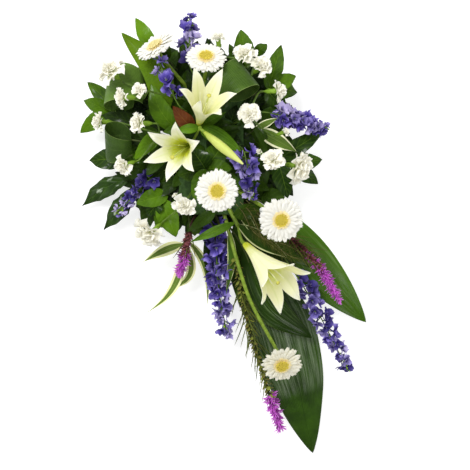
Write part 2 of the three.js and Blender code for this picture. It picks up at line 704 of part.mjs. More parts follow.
// Delphiniums: florets of five lobes on short stalks all round a stem, smaller towards its end.
const delphiniums = [
  {
    name: "top", entry: [-22, 104, 66], by: [[190, 66, 78]], end: [190, 15, 62], from: 0.3,
    size: 12.5,
  },
  {
    name: "upper_left", entry: [-34, 52, 74], by: [[178, 104, 116]], end: [157, 58, 126], from: 0.5,
    size: 12.5,
  },
  {
    name: "right", entry: [50, 48, 64], by: [[262, 112, 80]], end: [326, 129, 78], from: 0.42,
    size: 14.5,
  },
  {
    name: "centre", entry: [30, 4, 74], by: [[243, 150, 108]], end: [252, 196, 112], from: 0.4,
    size: 12.5,
  },
  {
    name: "left", entry: [-50, -32, 64], by: [[160, 172, 66]], end: [116, 214, 50], from: 0.4,
    size: 12.5,
  },
  {
    name: "tail_left", entry: [-4, -104, 58], by: [[215, 236, 62], [218, 284, 56]], end: [227, 334, 44],
    from: 0.22, size: 15,
  },
  {
    name: "tail_right", entry: [40, -104, 58], by: [[270, 240, 62], [303, 286, 60]], end: [349, 371, 46],
    from: 0.5, size: 14.5,
  },
];

// A funnel with five lobes that starts at the middle of the stem.
function floret(size, reach, seed) {
  const { lobes } = DELPHINIUM;
  const corners = [];
  for (let i = 0; i < 2 * lobes; i++) {
    const away = i % 2 ? 1 : 0.66;
    const height = 0.12 + 0.16 * (i % 2) + 0.12 * random(seed + i);
    corners.push([size * away, (Math.PI * i) / lobes, size * height]);
  }
  return star({ corners, top: 0, bottom: -reach });
}

function addDelphinium({ name, entry, by, end, from, size }, order) {
  const points = [...by.map(at), at(end)];
  const curve = new THREE.CatmullRomCurve3([point(...entry), ...points], false, "centripetal");
  const { rachis, whorl, spacing, reach } = DELPHINIUM;
  const parts = [rootedStem(entry, points, rachis, { taper: 0.5, perStretch: 2 })];
  const whorls = Math.round((curve.getLength() * (1 - from)) / spacing);
  for (let i = 0; i < whorls * whorl; i++) {
    const share = (Math.floor(i / whorl) + 0.2 * (i % whorl)) / whorls;
    const t = from + (1 - from) * share;
    const along = curve.getTangentAt(t);
    const turn = (2 * Math.PI * (i % whorl)) / whorl + Math.PI * Math.floor(i / whorl) / whorl + order;
    const side = along.clone().cross(UP).normalize().applyAxisAngle(along, turn);
    const direction = side.addScaledVector(along, DELPHINIUM.lean).normalize();
    const small = 1 - 0.6 * share * share;
    const head = curve.getPointAt(t).addScaledVector(direction, reach * small);
    parts.push(placed(floret(size * small, reach * small, order * 100 + i), head, direction, i));
  }
  add(`delphinium_${name}`, fuse(parts), "delphinium", 0.7);
}

// Liatris: a stem of short bracts that ends in a brush of bright threads.
const liatrises = [
  {
    name: "left", entry: [-24, -104, 64], by: [[192, 222, 72], [186, 248, 68]], end: [180, 274, 56],
    from: 0.3, turn: 0.68, bracts: 4, threads: 3,
  },
  {
    name: "right", entry: [50, -86, 66], by: [[270, 222, 84], [296, 244, 86], [320, 268, 82]],
    end: [340, 301, 74], from: 0.42, turn: 0.74, bracts: 5, threads: 3,
  },
  {
    name: "tail", entry: [6, -104, 68], by: [[236, 267, 66], [250, 330, 62], [266, 384, 54]],
    end: [281, 429, 38], from: 0.3, turn: 0.85, bracts: 8, threads: 4,
  },
];

// Whorls of pointed teeth all along a stretch of a curve, leaning along it.
function whorls(curve, { from, to, count, teeth, reach, lean, seed }) {
  const parts = [];
  for (let i = 0; i < count; i++) {
    const t = from + ((to - from) * (i + 0.5)) / count;
    const corners = [];
    for (let j = 0; j < 2 * teeth; j++) {
      const size = j % 2 ? reach * (0.75 + 0.35 * random(seed + 9 * i + j)) : 1.2;
      corners.push([size, (Math.PI * j) / teeth, j % 2 ? lean * size : 0]);
    }
    const whorl = star({ corners, top: 1.3, bottom: -1.3 });
    parts.push(placed(whorl, curve.getPointAt(t), curve.getTangentAt(t), i));
  }
  return parts;
}

function addLiatris({ name, entry, by, end, from, turn, bracts, threads }, order) {
  const line = [point(...entry), ...by.map(at), at(end)];
  const curve = new THREE.CatmullRomCurve3(line, false, "centripetal");
  const { rachis, bract, thread, tip, bractTeeth, threadTeeth } = LIATRIS;
  const stop = turn - GAP / curve.getLength();
  const stalk = [0.5, 0.75, 1].map((share) => curve.getPointAt(stop * share));
  const stem = rootedStem(entry, stalk, rachis, { perStretch: 2 });
  const green = whorls(curve, {
    from, to: turn - 0.03, count: bracts, teeth: bractTeeth, reach: bract, lean: 0.9, seed: order * 50,
  });
  add(`liatris_${name}`, fuse([stem, ...green]), "liatris", 0.8);
  const head = [0, 0.35, 0.7, 1].map((share) => curve.getPointAt(turn + (1 - turn) * share));
  const core = tube(head, (t) => tip * (1 - 0.6 * t), 4);
  const pink = whorls(curve, {
    from: turn + 0.02, to: 0.99, count: threads, teeth: threadTeeth, reach: thread, lean: 0.6,
    seed: order * 90,
  });
  add(`liatris_${name}_brush`, fuse([core, ...pink]), "liatrisTip", 0.8);
}

// The holder: a tray with the foam in it.
function roundedRectangle(width, length, radius) {
  const x = width / 2 - radius;
  const y = length / 2 - radius;
  const outline = new THREE.Shape();
  outline.absarc(x, y, radius, 0, Math.PI / 2);
  outline.absarc(-x, y, radius, Math.PI / 2, Math.PI);
  outline.absarc(-x, -y, radius, Math.PI, 1.5 * Math.PI);
  outline.absarc(x, -y, radius, 1.5 * Math.PI, 2 * Math.PI);
  return outline;
}

// A slab between two heights whose top is wider than its bottom by flare on each side.
function taperedSlab({ width, length, corner, bottom, top, flare = 0, curveSegments = 2 }) {
  const shape = roundedRectangle(width, length, corner);
  const depth = top - bottom;
  const geometry = new THREE.ExtrudeGeometry(shape, { depth, bevelEnabled: false, curveSegments });
  const position = geometry.attributes.position;
  for (let i = 0; i < position.count; i++) {
    const share = position.getZ(i) / depth;
    const x = position.getX(i) * (1 + (2 * flare * share) / width);
    const y = position.getY(i) * (1 + (2 * flare * share) / length);
    position.setXYZ(i, x, y, position.getZ(i) + bottom);
  }
  return solidOf(geometry);
}

function addTray() {
  const { length, width, height, wall, corner, flare, lip } = TRAY;
  const slab = (inset, bottom, top, slope) => taperedSlab({
    width: width - 2 * inset, length: length - 2 * inset, corner: corner - inset, bottom, top, flare: slope,
  });
  const outside = slab(flare, 0, height, flare);
  const hollow = slab(flare + wall, wall, height + 1, flare);
  const rim = slab(-lip, height - wall, height, 0);
  add("tray", geometryOf(outside.add(rim).subtract(hollow)), "tray", 0.5);
}

function addFoam() {
  const block = taperedSlab({ ...FOAM, curveSegments: 2 });
  const holes = wasm.Manifold.union(rootedStems.map(stemHole));
  add("foam", geometryOf(block.subtract(holes)), "foam", 0.95);
}

aspidistras.forEach(addAspidistra);
rolls.forEach(addRoll);
for (const twig of salals) addTwig(twig, "salal", 1.6);
addTwig(fatsia, "fatsia", 2, { wave: 0.05, waves: 2, rows: 5, cup: -0.05 });
for (const twig of variegateds) addTwig(twig, "variegated", 1.3, { outline: "lance" });
lilies.forEach(addLily);
addBud(bud);
lilyStems.forEach(addLilyStem);
gerberas.forEach(addGerbera);
carnations.forEach(addCarnations);
delphiniums.forEach(addDelphinium);
liatrises.forEach(addLiatris);
addTray();
addFoam();

export default spray;
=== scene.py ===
import json
import math
import bpy
import numpy as np
from mathutils import Matrix, Vector

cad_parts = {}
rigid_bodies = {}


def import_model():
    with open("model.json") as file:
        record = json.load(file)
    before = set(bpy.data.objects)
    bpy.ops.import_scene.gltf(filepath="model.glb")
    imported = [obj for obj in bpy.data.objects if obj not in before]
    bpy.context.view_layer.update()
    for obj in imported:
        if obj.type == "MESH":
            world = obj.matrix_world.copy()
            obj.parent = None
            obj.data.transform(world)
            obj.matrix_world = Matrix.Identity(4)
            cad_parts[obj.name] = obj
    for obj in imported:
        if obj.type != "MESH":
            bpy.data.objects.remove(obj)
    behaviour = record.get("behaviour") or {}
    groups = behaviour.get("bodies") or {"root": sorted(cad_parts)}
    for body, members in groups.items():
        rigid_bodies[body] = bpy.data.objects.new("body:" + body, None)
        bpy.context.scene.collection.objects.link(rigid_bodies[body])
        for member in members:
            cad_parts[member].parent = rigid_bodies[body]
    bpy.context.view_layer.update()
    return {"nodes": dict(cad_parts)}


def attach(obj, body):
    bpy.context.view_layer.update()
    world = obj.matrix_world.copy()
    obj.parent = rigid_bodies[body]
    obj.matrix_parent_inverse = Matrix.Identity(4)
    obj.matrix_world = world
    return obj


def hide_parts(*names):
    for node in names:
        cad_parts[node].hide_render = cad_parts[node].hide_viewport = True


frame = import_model()

mm = 0.001
goldenTurn = math.radians(137.508)
up = np.array([0.0, 0.0, 1.0])
scene = bpy.context.scene

# The photograph's own view, which the places below are written in: pixel x, pixel y, height in mm.
view = {"size": 470, "pixel": 1.6, "cameraHeight": 2400, "middle": 235, "trayX": 212, "trayY": 150}
inFoam = 22  # how deep a stem stands in the foam, in mm


def at(place):
    x, y, height = place
    near = 1 - height / view["cameraHeight"]
    right = view["middle"] - view["trayX"] + (x - view["middle"]) * near
    ahead = view["trayY"] - view["middle"] + (view["middle"] - y) * near
    return np.array([right * view["pixel"], ahead * view["pixel"], height]) * mm


def facing(tilt, toward):  # leans from straight up by tilt, towards a compass angle from +X
    tilt, toward = math.radians(tilt), math.radians(toward)
    return np.array([math.sin(tilt) * math.cos(toward), math.sin(tilt) * math.sin(toward), math.cos(tilt)])


def around(angle):
    return np.array([math.cos(angle), math.sin(angle), 0.0])


def spans(rows, columns):  # along a blade from 0 to 1, and across it from -1 to 1
    return np.linspace(0, 1, rows + 1)[:, None], np.linspace(-1, 1, columns + 1)[None, :]


def tapered(line, start, end):  # a line and its radii, which are given in mm
    return line, np.linspace(start, end, len(line)) * mm


def unit(vectors):
    return vectors / np.maximum(np.linalg.norm(vectors, axis=-1, keepdims=True), 1e-12)


def ramp(values, low, high):  # 0 below low, 1 above high, smooth between
    share = np.clip((np.asarray(values, float) - low) / (high - low), 0, 1)
    return share * share * (3 - 2 * share)


def smoothLine(points, count):  # a centripetal spline through the points
    points = [np.asarray(p, float) for p in points]
    padded = [2 * points[0] - points[1], *points, 2 * points[-1] - points[-2]]
    line = []
    for t in np.linspace(0, len(points) - 1, count + 1):
        i = min(int(t), len(points) - 2)
        w = t - i
        a, b, c, d = padded[i:i + 4]
        before, here, after = (max(np.linalg.norm(q - p), 1e-9) ** 0.5 for p, q in ((a, b), (b, c), (c, d)))
        leave = ((b - a) / before - (c - a) / (before + here) + (c - b) / here) * here
        arrive = ((c - b) / here - (d - b) / (here + after) + (d - c) / after) * here
        bend = -3 * b + 3 * c - 2 * leave - arrive
        line.append(b + w * leave + w * w * bend + w ** 3 * (2 * b - 2 * c + leave + arrive))
    return np.array(line)


def bowed(base, tip, arch, count):  # rises by arch between its ends
    t = np.linspace(0, 1, count + 1)[:, None]
    middle = (base + tip) / 2 + 2 * arch * mm * up
    return (1 - t) ** 2 * base + 2 * t * (1 - t) * middle + t ** 2 * tip


def rootedLine(entry, points, count=8):  # from inside the foam, out at its entry and through the points
    mouth = np.array(entry) * mm
    outward = unit(points[0] - mouth)
    hidden = [mouth - outward * inFoam * mm, mouth + outward * 5 * mm]
    return smoothLine([*hidden, *points], count * (len(points) + 1))


# Node trees as Python expressions

class Wire:  # a socket that can be used in arithmetic
    def __init__(self, graph, socket):
        self.graph, self.socket = graph, socket

    def maths(self, operation, *others):
        return self.graph.make("ShaderNodeMath", {"operation": operation}, [self, *others])

    def __add__(self, other):
        return self.maths("ADD", other)

    def __sub__(self, other):
        return self.maths("SUBTRACT", other)

    def __rsub__(self, other):
        return self.graph.make("ShaderNodeMath", {"operation": "SUBTRACT"}, [other, self])

    def __mul__(self, other):
        return self.maths("MULTIPLY", other)

    def __truediv__(self, other):
        return self.maths("DIVIDE", other)

    def __pow__(self, other):
        return self.maths("POWER", other)

    __radd__ = __add__
    __rmul__ = __mul__


class Graph:
    def __init__(self, tree):
        self.tree = tree

    def make(self, kind, settings=None, inputs=(), out=0):
        node = self.tree.nodes.new(kind)
        for name, value in (settings or {}).items():
            setattr(node, name, value)
        pairs = inputs.items() if isinstance(inputs, dict) else enumerate(inputs)
        for key, value in pairs:
            if isinstance(value, Wire):
                self.tree.links.new(value.socket, node.inputs[key])
            elif value is not None:
                node.inputs[key].default_value = value
        return Wire(self, node.outputs[out]) if node.outputs else None

    def mix(self, factor, a, b):  # of two colours
        a, b = (colour if isinstance(colour, Wire) else (*colour, 1.0) for colour in (a, b))
        return self.make("ShaderNodeMix", {"data_type": "RGBA"}, {0: factor, 6: a, 7: b}, out=2)

    def between(self, value, low, high):  # 0 at low, 1 at high, held outside
        return self.make("ShaderNodeMapRange", {"interpolation_type": "SMOOTHSTEP"},
                         [value, low, high, 0.0, 1.0])

    def noise(self, place, scale, detail=3.0, distortion=0.0):
        return self.make("ShaderNodeTexNoise", None, {0: place, 2: scale, 3: detail, 8: distortion})

    def random(self, low, high, seed):
        return self.make("FunctionNodeRandomValue", {"data_type": "FLOAT"}, {2: low, 3: high, 8: seed}, out=1)

    def turned(self, rotation, axis, angle):
        by = self.make("FunctionNodeAxisAngleToRotation", None, [axis, angle])
        return self.make("FunctionNodeRotateRotation", {"rotation_space": "LOCAL"}, [rotation, by])


# Geometry Nodes: stems, and parts that repeat along a stem or round a middle

units = {"size": mm, "away": mm, "height": mm, "offset": mm, "lean": math.radians(1)}
usual = {"tone": 1.0, "tone at end": 1.0, "crowd": 1.0, "turn": goldenTurn}


def startTree(name, sockets):
    tree = bpy.data.node_groups.new(name, "GeometryNodeTree")
    tree.interface.new_socket("geometry", in_out="OUTPUT", socket_type="NodeSocketGeometry")
    for label, kind in {"geometry": "Geometry", **sockets, "material": "Material"}.items():
        socket = tree.interface.new_socket(label, in_out="INPUT", socket_type="NodeSocket" + kind)
        if label in usual:
            socket.default_value = usual[label]
    graph = Graph(tree)
    start = tree.nodes.new("NodeGroupInput")
    return graph, {s.name: Wire(graph, s) for s in start.outputs if s.name}


def endTree(graph, given, geometry):
    realized = graph.make("GeometryNodeRealizeInstances", None, [geometry])
    painted = graph.make("GeometryNodeSetMaterial", None, {0: realized, 2: given["material"]})
    end = graph.tree.nodes.new("NodeGroupOutput")
    graph.tree.links.new(painted.socket, end.inputs[0])
    return graph.tree


def stemTree():  # tubes along lines of edges, as thick as their points say
    graph, given = startTree("stems", {"sides": "Int"})
    curve = graph.make("GeometryNodeMeshToCurve", None, [given["geometry"]])
    thick = graph.make("GeometryNodeInputNamedAttribute", {"data_type": "FLOAT"}, ["thick"])
    ring = graph.make("GeometryNodeCurvePrimitiveCircle", None, {0: given["sides"], 4: 1.0})
    tube = graph.make("GeometryNodeCurveToMesh", None, [curve, ring, thick, True])
    return endTree(graph, given, graph.make("GeometryNodeSetShadeSmooth", None, [tube]))


partSockets = {"parts": "Collection", "count": "Int", "seed": "Int", "size": "Float", "size at end": "Float",
               "lean": "Float", "lean at end": "Float", "tone": "Float", "tone at end": "Float",
               "turn": "Float", "scatter": "Float"}


def mixed(given, name, share):
    return given[name] + (given[name + " at end"] - given[name]) * share


def placeParts(graph, given, points, rotation, share):
    seed, scatter = given["seed"], given["scatter"]
    lean = mixed(given, "lean", share) + graph.random(-0.5, 0.5, seed + 11) * scatter * 0.6
    size = mixed(given, "size", share) * (1 + scatter * (graph.random(0.0, 1.0, seed) - 0.6))
    parts = graph.make("GeometryNodeCollectionInfo", None, [given["parts"], True, True])
    pick = graph.make("FunctionNodeRandomValue", {"data_type": "INT"}, {4: 0, 5: 11, 8: seed + 5}, out=2)
    leaned = graph.turned(rotation, (0, 1, 0), lean)
    placed = graph.make("GeometryNodeInstanceOnPoints", None, [points, True, parts, True, pick, leaned, size])
    toned = graph.make("GeometryNodeStoreNamedAttribute", {"data_type": "FLOAT", "domain": "INSTANCE"},
                       [placed, True, "tone", graph.random(0.0, 1.0, seed + 7) * mixed(given, "tone", share)])
    return endTree(graph, given, toned)


def alongTree():  # parts all round a line, each pointing +Z out of it
    graph, given = startTree("along", {**partSockets, "reach": "Float", "reach at end": "Float",
                                       "offset": "Float"})
    curve = graph.make("GeometryNodeMeshToCurve", None, [given["geometry"]])
    index = graph.make("GeometryNodeInputIndex")
    share = index / (given["count"] - 1).maths("MAXIMUM", 1.0)
    factor = mixed(given, "reach", share)
    spot, tangent = (graph.make("GeometryNodeSampleCurve", {"mode": "FACTOR", "use_all_curves": True},
                                {0: curve, 2: factor}, out=out) for out in (1, 2))
    upright = graph.make("FunctionNodeAlignRotationToVector", {"axis": "Z"}, {2: tangent})
    jitter = graph.random(-1.0, 1.0, given["seed"] + 3) * given["scatter"]
    turned = graph.turned(upright, (0, 0, 1), index * given["turn"] + jitter)
    out = graph.make("ShaderNodeCombineXYZ", None, [given["offset"]])
    push = graph.make("FunctionNodeRotateVector", None, [out, turned])
    place = graph.make("ShaderNodeVectorMath", {"operation": "ADD"}, [spot, push])
    points = graph.make("GeometryNodePoints", None, [given["count"], place])
    return placeParts(graph, given, points, turned, share)


def roundTree():  # parts round the origin, each pointing +X out of it; lean lifts them
    graph, given = startTree("round", {**partSockets, "away": "Float", "away at end": "Float",
                                       "height": "Float", "height at end": "Float", "crowd": "Float"})
    index = graph.make("GeometryNodeInputIndex")
    share = index / (given["count"] - 1).maths("MAXIMUM", 1.0)
    away = mixed(given, "away", share ** given["crowd"])
    jitter = graph.random(-0.5, 0.5, given["seed"] + 3) * given["scatter"]
    angle = index * given["turn"] + jitter
    place = graph.make("ShaderNodeCombineXYZ", None, [
        away * angle.maths("COSINE"), away * angle.maths("SINE"), mixed(given, "height", share)])
    points = graph.make("GeometryNodePoints", None, [given["count"], place])
    turned = graph.make("FunctionNodeAxisAngleToRotation", None, [(0, 0, 1), angle])
    return placeParts(graph, given, points, turned, share)


trees = {"stems": stemTree(), "along": alongTree(), "round": roundTree()}


# The mesh that a tree makes from lines of (points, thickness). A pair of values is for the start and the end.
def grown(treeName, look, lines=(), **values):
    mesh = bpy.data.meshes.new("host")
    points, edges, thick = [], [], []
    for line, size in lines:
        edges.extend((len(points) + i, len(points) + i + 1) for i in range(len(line) - 1))
        points.extend(line)
        thick.extend(np.broadcast_to(size, len(line)))
    mesh.from_pydata(points, edges, [])
    if thick:
        mesh.attributes.new("thick", "FLOAT", "POINT").data.foreach_set("value", np.array(thick, np.float32))
    host = bpy.data.objects.new("host", mesh)
    scene.collection.objects.link(host)
    modifier = host.modifiers.new("grow", "NODES")
    modifier.node_group = trees[treeName]
    values["material"] = looks[look]
    for item in trees[treeName].interface.items_tree:
        name = item.name.removesuffix(" at end")
        if item.in_out == "INPUT" and name in values:
            value = values[name]
            if isinstance(value, tuple):
                value = value[item.name != name]
            if item.socket_type == "NodeSocketFloat":
                value = value * units.get(name, 1.0)
            modifier[item.identifier] = value
    graph = bpy.context.evaluated_depsgraph_get()
    made = bpy.data.meshes.new_from_object(host.evaluated_get(graph), preserve_all_data_layers=True,
                                           depsgraph=graph)
    host.modifiers.remove(modifier)
    bpy.data.objects.remove(host)
    return made


def partsOf(name, piles):  # a collection of small meshes for a tree to repeat
    collection = bpy.data.collections.new(name)
    scene.collection.children.link(collection)
    for i, pile in enumerate(piles):
        collection.objects.link(bpy.data.objects.new(f"{name}{i}", pile.mesh(name, [], toned=False)))
    return collection


# Meshes

outlines = {
    "ovate": lambda t: np.sin(np.pi * t ** 0.78) ** 0.8,
    "lance": lambda t: np.sin(np.pi * t ** 0.85) ** 1.05,
    "strap": lambda t: np.sin(np.pi * t ** 0.95) ** 0.62,
    "pointed": lambda t: np.sin(np.pi * t ** 0.85) ** 0.8,
    "lobe": lambda t: np.sin(np.pi * t ** 1.4) ** 1.25,
    "hair": lambda t: np.sin(np.pi * t ** 0.72) ** 1.25,
}


class Pile:  # gathers sheets, tubes and leaves for one mesh
    def __init__(self):
        self.points, self.faces, self.uvs, self.tones, self.slots, self.count = [], [], [], [], [], 0

    def put(self, points, faces, uvs, tone, slot):
        self.points.append(points)
        self.faces.append(np.asarray(faces) + self.count)
        self.uvs.append(uvs)
        self.tones.append(np.full(len(points), tone))
        self.slots.append(np.full(len(faces), slot))
        self.count += len(points)
        return self

    def sheet(self, grid, thickness=0.7 * mm, tone=0.5, slot=0, uv=None):  # two faces that meet at the rim
        rows, columns = grid.shape[:2]
        normal = unit(np.cross(np.gradient(grid, axis=1), np.gradient(grid, axis=0)))
        inner = np.zeros((rows, columns), bool)
        inner[1:-1, 1:-1] = True
        lift = normal * thickness / 2 * inner[..., None]
        if uv is None:
            v, u = np.meshgrid(np.linspace(0, 1, rows), np.linspace(0, 1, columns), indexing="ij")
            uv = np.stack([u, v], -1)
        front = np.arange(rows * columns).reshape(rows, columns)
        back = front.copy()
        back[inner] = rows * columns + np.arange(inner.sum())

        def quads(index):
            corners = [index[:-1, :-1], index[:-1, 1:], index[1:, 1:], index[1:, :-1]]
            return np.stack(corners, -1).reshape(-1, 4)

        points = np.concatenate([(grid + lift).reshape(-1, 3), (grid - lift)[inner]])
        faces = np.concatenate([quads(front), quads(back)[:, ::-1]])
        return self.put(points, faces, np.concatenate([uv.reshape(-1, 2), uv[inner]]), tone, slot)

    def tube(self, line, radius, sides=6, tone=0.5, slot=0):  # closed at both ends
        line = np.asarray(line)
        along = unit(np.gradient(line, axis=0))
        side = unit(np.cross(along[0], up if abs(along[0][2]) < 0.9 else [0.0, 1.0, 0.0]))
        radius = np.broadcast_to(radius, len(line))
        rings, uvs = [], []
        for i, (place, ahead) in enumerate(zip(line, along)):
            side = unit(side - ahead * side.dot(ahead))
            angles = np.arange(sides) * 2 * np.pi / sides
            across = np.cross(ahead, side)
            ring = place + radius[i] * (np.cos(angles)[:, None] * side + np.sin(angles)[:, None] * across)
            rings.append(ring)
            uvs.append(np.stack([angles / 2 / np.pi, np.full(sides, i / (len(line) - 1))], -1))
        points = np.concatenate([*rings, line[:1], line[-1:]])
        index = np.arange(len(line) * sides).reshape(len(line), sides)
        over = np.roll(index, -1, axis=1)
        faces = np.stack([index[:-1], over[:-1], over[1:], index[1:]], -1).reshape(-1, 4)
        foot, tip = len(line) * sides, len(line) * sides + 1
        caps = [(over[0][i], index[0][i], foot, foot) for i in range(sides)]
        caps += [(index[-1][i], over[-1][i], tip, tip) for i in range(sides)]
        uvs = np.concatenate([*uvs, [[0.5, 0.0], [0.5, 1.0]]])
        return self.put(points, np.concatenate([faces, caps]), uvs, tone, slot)

    def leaf(self, line, width, outline="ovate", columns=10, roll=0.0, twist=0.0, cup=0.0, fold=0.0, wave=0.0,
             waves=3, swell=0.0, frill=0.0, quilt=0.0, seed=0, face=up, thickness=0.7 * mm, tone=0.5, slot=0):
        rows = len(line) - 1
        v = np.linspace(0, 1, rows + 1)
        u = np.linspace(-1, 1, columns + 1)
        along = unit(np.gradient(line, axis=0))
        side = unit(np.cross(along, face))
        turn = np.radians(roll + twist * v)[:, None]
        side = side * np.cos(turn) + np.cross(along, side) * np.sin(turn)
        over = np.cross(side, along)
        half = np.maximum(outlines[outline](np.clip(v, 0, 1)) * width / 2, 0.3)
        rand = np.random.default_rng(seed)
        phase = rand.uniform(0, 6.28, 4)
        edge = 1 + frill * (np.sin(v * 31 + phase[0]) + 0.6 * np.sin(v * 53 + phase[1]))
        lift = cup * width * u ** 2 * np.minimum(np.minimum(4 * v, 4 - 4 * v), 1)[:, None]
        lift = lift + fold * np.sqrt(u ** 2 + 0.03) * half[:, None]
        lift = lift + wave * width * np.sin(2 * np.pi * waves * v + phase[2])[:, None] * u * np.abs(u)
        rolling = np.sin(2 * np.pi * waves * v + phase[3]) * np.sin(np.pi * v)
        lift = lift + swell * rolling[:, None] * (1 - 0.3 * u)
        lift = lift + quilt * np.cos(2 * np.pi * (7 * v[:, None] - 1.6 * np.abs(u))) * (1 - u ** 2)
        grid = line[:, None] + side[:, None] * (u * (half * edge)[:, None])[..., None] * mm
        return self.sheet(grid + over[:, None] * (lift * mm)[..., None], thickness, tone, slot)

    def mesh(self, name, materials, toned=True):
        points, faces = np.concatenate(self.points), np.concatenate(self.faces)
        uvs, slots = np.concatenate(self.uvs), np.concatenate(self.slots)
        mesh = bpy.data.meshes.new(name)
        sizes = np.where(faces[:, 2] == faces[:, 3], 3, 4)
        loops = faces[np.arange(4) < sizes[:, None]]
        mesh.vertices.add(len(points))
        mesh.vertices.foreach_set("co", points.astype(np.float32).ravel())
        mesh.loops.add(len(loops))
        mesh.loops.foreach_set("vertex_index", loops.astype(np.int32))
        mesh.polygons.add(len(faces))
        starts = np.concatenate([[0], np.cumsum(sizes)[:-1]])
        mesh.polygons.foreach_set("loop_start", starts.astype(np.int32))
        for material in materials:
            mesh.materials.append(material)
        mesh.polygons.foreach_set("material_index", slots.astype(np.int32))
        mesh.update(calc_edges=True)
        layer = mesh.uv_layers.new(name="blade")
        layer.data.foreach_set("uv", uvs[loops].astype(np.float32).ravel())
        if toned:
            tones = np.concatenate(self.tones).astype(np.float32)
            mesh.attributes.new("tone", "FLOAT", "POINT").data.foreach_set("value", tones)
        mesh.shade_smooth()
        mesh.set_sharp_from_angle(angle=math.radians(75))  # the rims of sheets
        return mesh


def addPiece(name, meshes, slot, *nodes):
    objects = [bpy.data.objects.new(name, mesh) for mesh in meshes]
    for each in objects:
        scene.collection.objects.link(each)
    if len(objects) > 1:
        with bpy.context.temp_override(active_object=objects[0], selected_editable_objects=objects):
            bpy.ops.object.join()
    piece = objects[0]
    piece.name = name
    piece.data.name = name
    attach(piece, "root")
    if nodes:
        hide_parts(*nodes)
    return piece


def moved(mesh, place, direction, spin=0.0):  # from facing +Z at the origin to a place and a direction
    turn = Vector((0, 0, 1)).rotation_difference(Vector(direction)).to_matrix().to_4x4()
    mesh.transform(Matrix.Translation(Vector(place)) @ turn @ Matrix.Rotation(spin, 4, "Z"))
    return mesh


# Materials

def startLook(name):
    material = bpy.data.materials.new(name)
    material.use_nodes = True
    material.node_tree.nodes.clear()
    graph = Graph(material.node_tree)
    uv = graph.make("ShaderNodeUVMap", {"uv_map": "blade"})
    u = graph.make("ShaderNodeSeparateXYZ", None, [uv], out=0)
    v = graph.make("ShaderNodeSeparateXYZ", None, [uv], out=1)
    tone = graph.make("ShaderNodeAttribute", {"attribute_name": "tone"}, out=2)
    place = graph.make("ShaderNodeTexCoord", out=3)
    return material, graph, u, v, tone, place


def endLook(graph, colour, roughness, height, depth, fixed=None):
    bump = graph.make("ShaderNodeBump", None, {0: 0.7, 1: depth, 3: height})
    shader = graph.make("ShaderNodeBsdfPrincipled", None,
                        {"Base Color": colour, "Roughness": roughness, "Normal": bump, **(fixed or {})})
    graph.make("ShaderNodeOutputMaterial", None, [shader])


def leafLook(name, look):
    material, graph, u, v, tone, place = startLook(name)
    across = (u - 0.5).maths("ABSOLUTE") * 2
    blotch = graph.noise(place, 55.0, 4.0)
    speck = graph.noise(place, 600.0, 2.0)
    if look["veins"] == "parallel":
        path = u * look["count"] + blotch * 0.4
    else:
        path = v * look["count"] - across * look["slant"] + blotch * 0.15
    vein = (1 - path.maths("PINGPONG", 0.5) * 2) ** look["sharp"]
    rib = 1 - graph.between(across, 0.0, look["ribWidth"])
    shade = graph.between(tone * 0.75 + blotch * 0.55, 0.2, 0.95)
    colour = graph.mix(shade, look["dark"], look["light"])
    colour = graph.mix(vein * look["veinShow"], colour, look["rib"])
    colour = graph.mix(rib * look["ribShow"], colour, look["rib"])
    if "edge" in look:
        ragged = across + (blotch - 0.5) * look["edgeRagged"]
        pale = graph.between(ragged, look["edgeFrom"], look["edgeFrom"] + 0.06)
        colour = graph.mix(pale * look.get("edgeShow", 1.0), colour, look["edge"])
    roughness = blotch * 0.12 + speck * 0.06 + look["roughness"]
    height = vein * -0.5 - rib * 0.7 + speck * 0.12
    along = graph.make("ShaderNodeCombineXYZ", None, [u * look["sheen"][0], v * look["sheen"][1], tone * 7])
    sheen = graph.between(graph.noise(along, 1.0, 2.0), 0.48, 0.66) * look["coat"]
    if "bloom" in look:  # painted sheen: a pale colour in streaks, over a part of the length, that stands in for the shine of the lights
        grain = look["bloomGrain"]
        paintedSheenPlace = graph.make("ShaderNodeCombineXYZ", None, [u * grain[0], v * grain[1], tone * 7])
        band = graph.between(v, *look["bloomFrom"]) * (1 - graph.between(v, *look["bloomTo"]))
        paintedSheenMask = graph.between(graph.noise(paintedSheenPlace, 1.0, 3.0), *look["bloomAt"]) * band
        colour = graph.mix(paintedSheenMask * look["bloomShow"], colour, look["bloom"])
        sheen = sheen * band
    endLook(graph, colour, roughness, height, look["depth"] * mm,
            {"Specular IOR Level": look["shine"], "Coat Weight": sheen, "Coat Roughness": look["coatRough"]})
    return material


